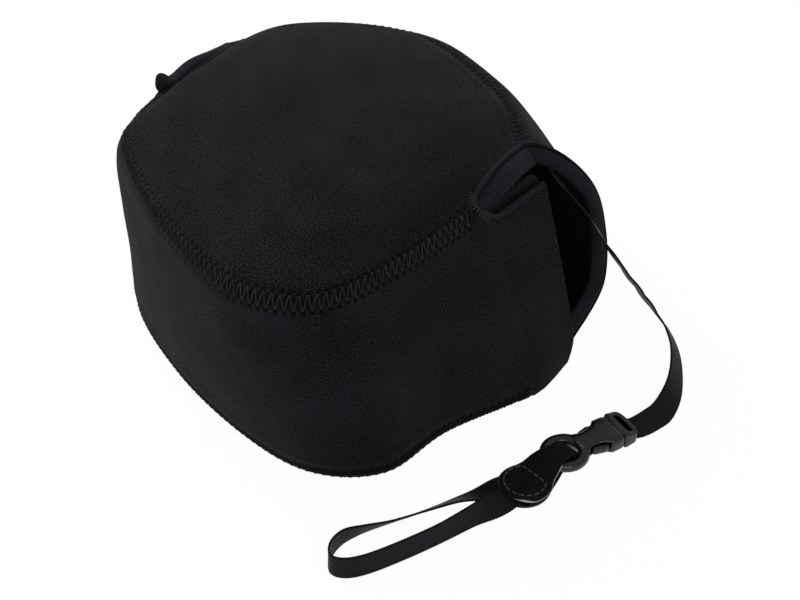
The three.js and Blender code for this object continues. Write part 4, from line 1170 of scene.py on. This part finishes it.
def add_tab():
    """One strip of leather: the upper leaf from the head's tip to the ring, round the ring's bent rod, and the lower
    leaf back. Across, it is a row from edge to edge; its cut edges are marked by a field."""
    tip = np.radians(np.linspace(90, 0, 40))
    out = np.concatenate([TAB_HEAD_AT + TAB_HEAD_ROUND * np.sin(tip), np.linspace(TAB_HEAD_AT, FOLD_AT, 44)[1:]])
    out[0] -= 1e-4
    out = out[:, None]
    turn = np.linspace(pi / 2, 3 * pi / 2, 26)[1:-1, None]
    across = np.linspace(-1, 1, LEAF_ACROSS)[None]
    wide = tab_width(out)
    upper = np.stack(np.broadcast_arrays(out, wide * across, leaf_height(out, np.abs(across))), -1)
    floor = -TAB_SKIN + LEATHER_THICK / 2
    sink = np.interp(out, [FOLD_AT, 11.5, 30], [-FOLD_ROUND, floor, floor])
    lower = np.stack(np.broadcast_arrays(out, wide * across * 0.95, sink), -1)[::-1]
    fold_out = RING_ROUND + FOLD_REACH * np.cos(turn)
    fold_wide = np.minimum(NECK_HALF, np.sqrt(4.2 ** 2 - np.minimum(fold_out, 1.5) ** 2) - 0.1)
    fold = np.stack(np.broadcast_arrays(fold_out, fold_wide * across, FOLD_ROUND * np.sin(turn)), -1)
    middle = np.concatenate([upper, fold, lower])
    middle[:, :, 2] = smoothed(middle[:, :, 2], 1.6)
    bend = RING_ROUND - np.sqrt(np.maximum(RING_ROUND ** 2 - middle[..., 1] ** 2, 1))
    middle[..., 0] -= bend * ease((12 - middle[..., 0]) / 5) * ease((middle[..., 0] + 1) / 5)
    half = -outward(middle) * LEATHER_THICK / 2
    arc = np.linspace(0, pi, 6)[1:-1][None, :, None]
    size = np.minimum(0.25, 0.2 * np.concatenate([wide, fold_wide, wide[::-1]]))[..., None]

    def side(column, sign):
        """The half-round cut edge along one side: middle + half * cos + way * size * sin."""
        way = np.array([0, sign, 0.0])
        start = half[:, column][:, None] * sign
        return middle[:, column][:, None] + start * np.cos(arc) + way * size * np.sin(arc)

    points = np.concatenate([middle + half, side(-1, 1), (middle - half)[:, ::-1], side(0, -1)], axis=1)
    rows = np.arange(len(points))[:, None]
    rim = np.tile(np.repeat([0.0, 1.0], [LEAF_ACROSS, arc.size]), 2)[None]
    pale = rim * (rows < len(upper) - 6)
    brown = rim * (rows > len(upper) + len(fold))
    cut = {"cut": np.stack([pale, brown, 0 * pale], -1)}
    return add_grid("tab_strip", on_tab(points), LEATHER, cut)


def add_tab_stitches():
    """A row of separate stitches on the tab's head: round it, and straight across its neck."""
    a = np.linspace(-2.2, 2.2, 200)
    inset, pitch, long, gap = 1.6, 2.5, 1.9, 0.25    # from the rim; from stitch to stitch; a stitch; before it
    radius = TAB_HEAD_ROUND - inset
    line = np.stack([TAB_HEAD_AT + radius * np.cos(a), radius * np.sin(a)], -1)
    line = np.vstack([line, line[:1]])
    total = run(line)[-1]
    count = int(total / pitch)
    start = np.arange(count)[:, None] * total / count
    t = np.linspace(0, 1, 8)[None]
    flat = pick(line, (start + gap + t * long) % total)
    out, across = flat[..., 0], np.abs(flat[..., 1])
    z = leaf_height(out, across / tab_width(out)) + LEATHER_THICK / 2 + 0.14 - THREAD_SINK * np.abs(2 * t - 1) ** 6
    points = on_tab(np.concatenate([flat, z[..., None]], -1))
    return add_threads("tab_stitches", points, np.zeros_like(points) + UP, TAB_SEWING, TAB_THREAD)


# Assembly.
def join(piece, body, node):
    """A piece fixed to a body, in place of a node of the CAD model."""
    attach(piece, body)
    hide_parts(node)


panels = add_panels()
for name, node in (("top", "top_panel"), ("bottom", "bottom_panel"), ("back", "back_wrap"), ("front", "front_wrap")):
    join(panels[name], "case", node)

BEND_AT = {"right": 0.066, "left": -0.072}    # where a flap's cloth would start to bend, in metres; only the sides are read here
for side, x in BEND_AT.items():
    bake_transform(panels[side])
    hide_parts(f"{side}_flap")
    mouth = add_mouth(side)
    for part in ("lip", "lip_rim"):
        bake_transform(mouth[part])
    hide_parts(f"{side}_lip_roll")
    for part, node in (("hood", "hood_facing"), ("hood_rim", "hood_piping")):
        join(mouth[part], "case", f"{side}_{node}")
    join(add_slot_stitches(side), "case", f"{side}_slot_bartack")

# Margin from the slots, reach either side, thread radius and thread of the top and bottom seams.
TOP_SEWING, BASE_SEWING = (1.5, STITCH_REACH, 0.2, THREAD), (4, 0.8 * BASE_ROUND, 0.12, BASE_THREAD)
for name, seam, sewing in (
    ("top_front", TOP_FRONT, TOP_SEWING), ("top_back", TOP_BACK, TOP_SEWING),
    ("base_front", BASE_FRONT, BASE_SEWING), ("base_back", BASE_BACK, BASE_SEWING),
):
    join(add_zigzag(f"{name}_stitches", seam, *sewing, f"{name}_thread"), "case", f"{name}_zigzag")
for side in ("left", "right"):
    join(add_base_tack(side), "case", f"{side}_base_bartack")
for place, length in (("anchor", 1.4), ("end", run(tether_path)[-1] - 5.2)):
    tack = add_ribbon_tack(f"tether_{place}_stitches", tether_lie, length)
    join(tack, "case", f"tether_{place}_tack")

yoke = add_yoke()
join(yoke, "case", "buckle_male")
join(add_socket(), "socket", "buckle_female")
for side, sign in (("left", 1), ("right", -1)):
    join(add_arm(side, sign), f"{side}_arm", f"latch_arm_{side}")
tab = add_tab()
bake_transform(tab)
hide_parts("leather_tab")
join(add_tab_stitches(), "tab", "tab_stitching")

join(tether, "case", "tether_ribbon")
join(loop, "tab", "loop_ribbon")


# Floor, backdrop and light.
def add_floor(size, height):
    """A white floor: plain white to the camera and to mirrors, with some of the lit surface and its shadow left
    in."""
    finish, n, shader = new_finish(
        "white_floor", Base_Color=(0.86, 0.86, 0.86, 1), Roughness=0.9, Specular_IOR_Level=0.0)
    light = n.add("ShaderNodeLightPath").outputs
    seen = n.math("MAXIMUM", light["Is Camera Ray"], light["Is Glossy Ray"])
    seen = n.math("MAXIMUM", seen, light["Is Transmission Ray"])
    glow = n.add("ShaderNodeEmission", {"Color": (1, 1, 1, 1), "Strength": 1.0})
    both = n.add("ShaderNodeMixShader", {0: n.times(seen, 0.97), 1: shader.outputs[0], 2: glow.outputs[0]})
    out = next(k for k in n.tree.nodes if k.type == "OUTPUT_MATERIAL")
    n.link(both.outputs[0], out.inputs["Surface"])
    mesh = bpy.data.meshes.new("floor")
    corners = [(x * size, y * size, height) for x, y in ((-1, -1), (1, -1), (1, 1), (-1, 1))]
    mesh.from_pydata(corners, [], [(0, 1, 2, 3)])
    mesh.materials.append(finish)
    floor = bpy.data.objects.new("floor", mesh)
    bpy.context.scene.collection.objects.link(floor)


def add_world(strength):
    """Even soft light from all round."""
    world = bpy.data.worlds.new("surroundings")
    world.use_nodes = True
    world.node_tree.nodes.clear()
    n = Nodes(world.node_tree)
    soft = n.add("ShaderNodeBackground", {"Color": (1, 1, 1, 1), "Strength": strength})
    n.add("ShaderNodeOutputWorld", {"Surface": soft.outputs[0]})
    bpy.context.scene.world = world


def add_lamp(name, place, size, power):
    """A round softbox that faces the case."""
    data = bpy.data.lights.new(name, "AREA")
    data.shape = "DISK"
    data.size = size
    data.energy = power
    lamp = bpy.data.objects.new(name, data)
    lamp.location = place
    lamp.rotation_euler = (Vector((0, 0, 0.04)) - Vector(place)).to_track_quat("-Z", "Y").to_euler()
    bpy.context.scene.collection.objects.link(lamp)


add_floor(6.0, -0.0002)
add_world(0.55)
add_lamp("key_softbox", (-1.0, 0.15, 0.85), 0.9, 14)
add_lamp("fill_softbox", (0.9, -0.9, 0.9), 1.0, 6.5)
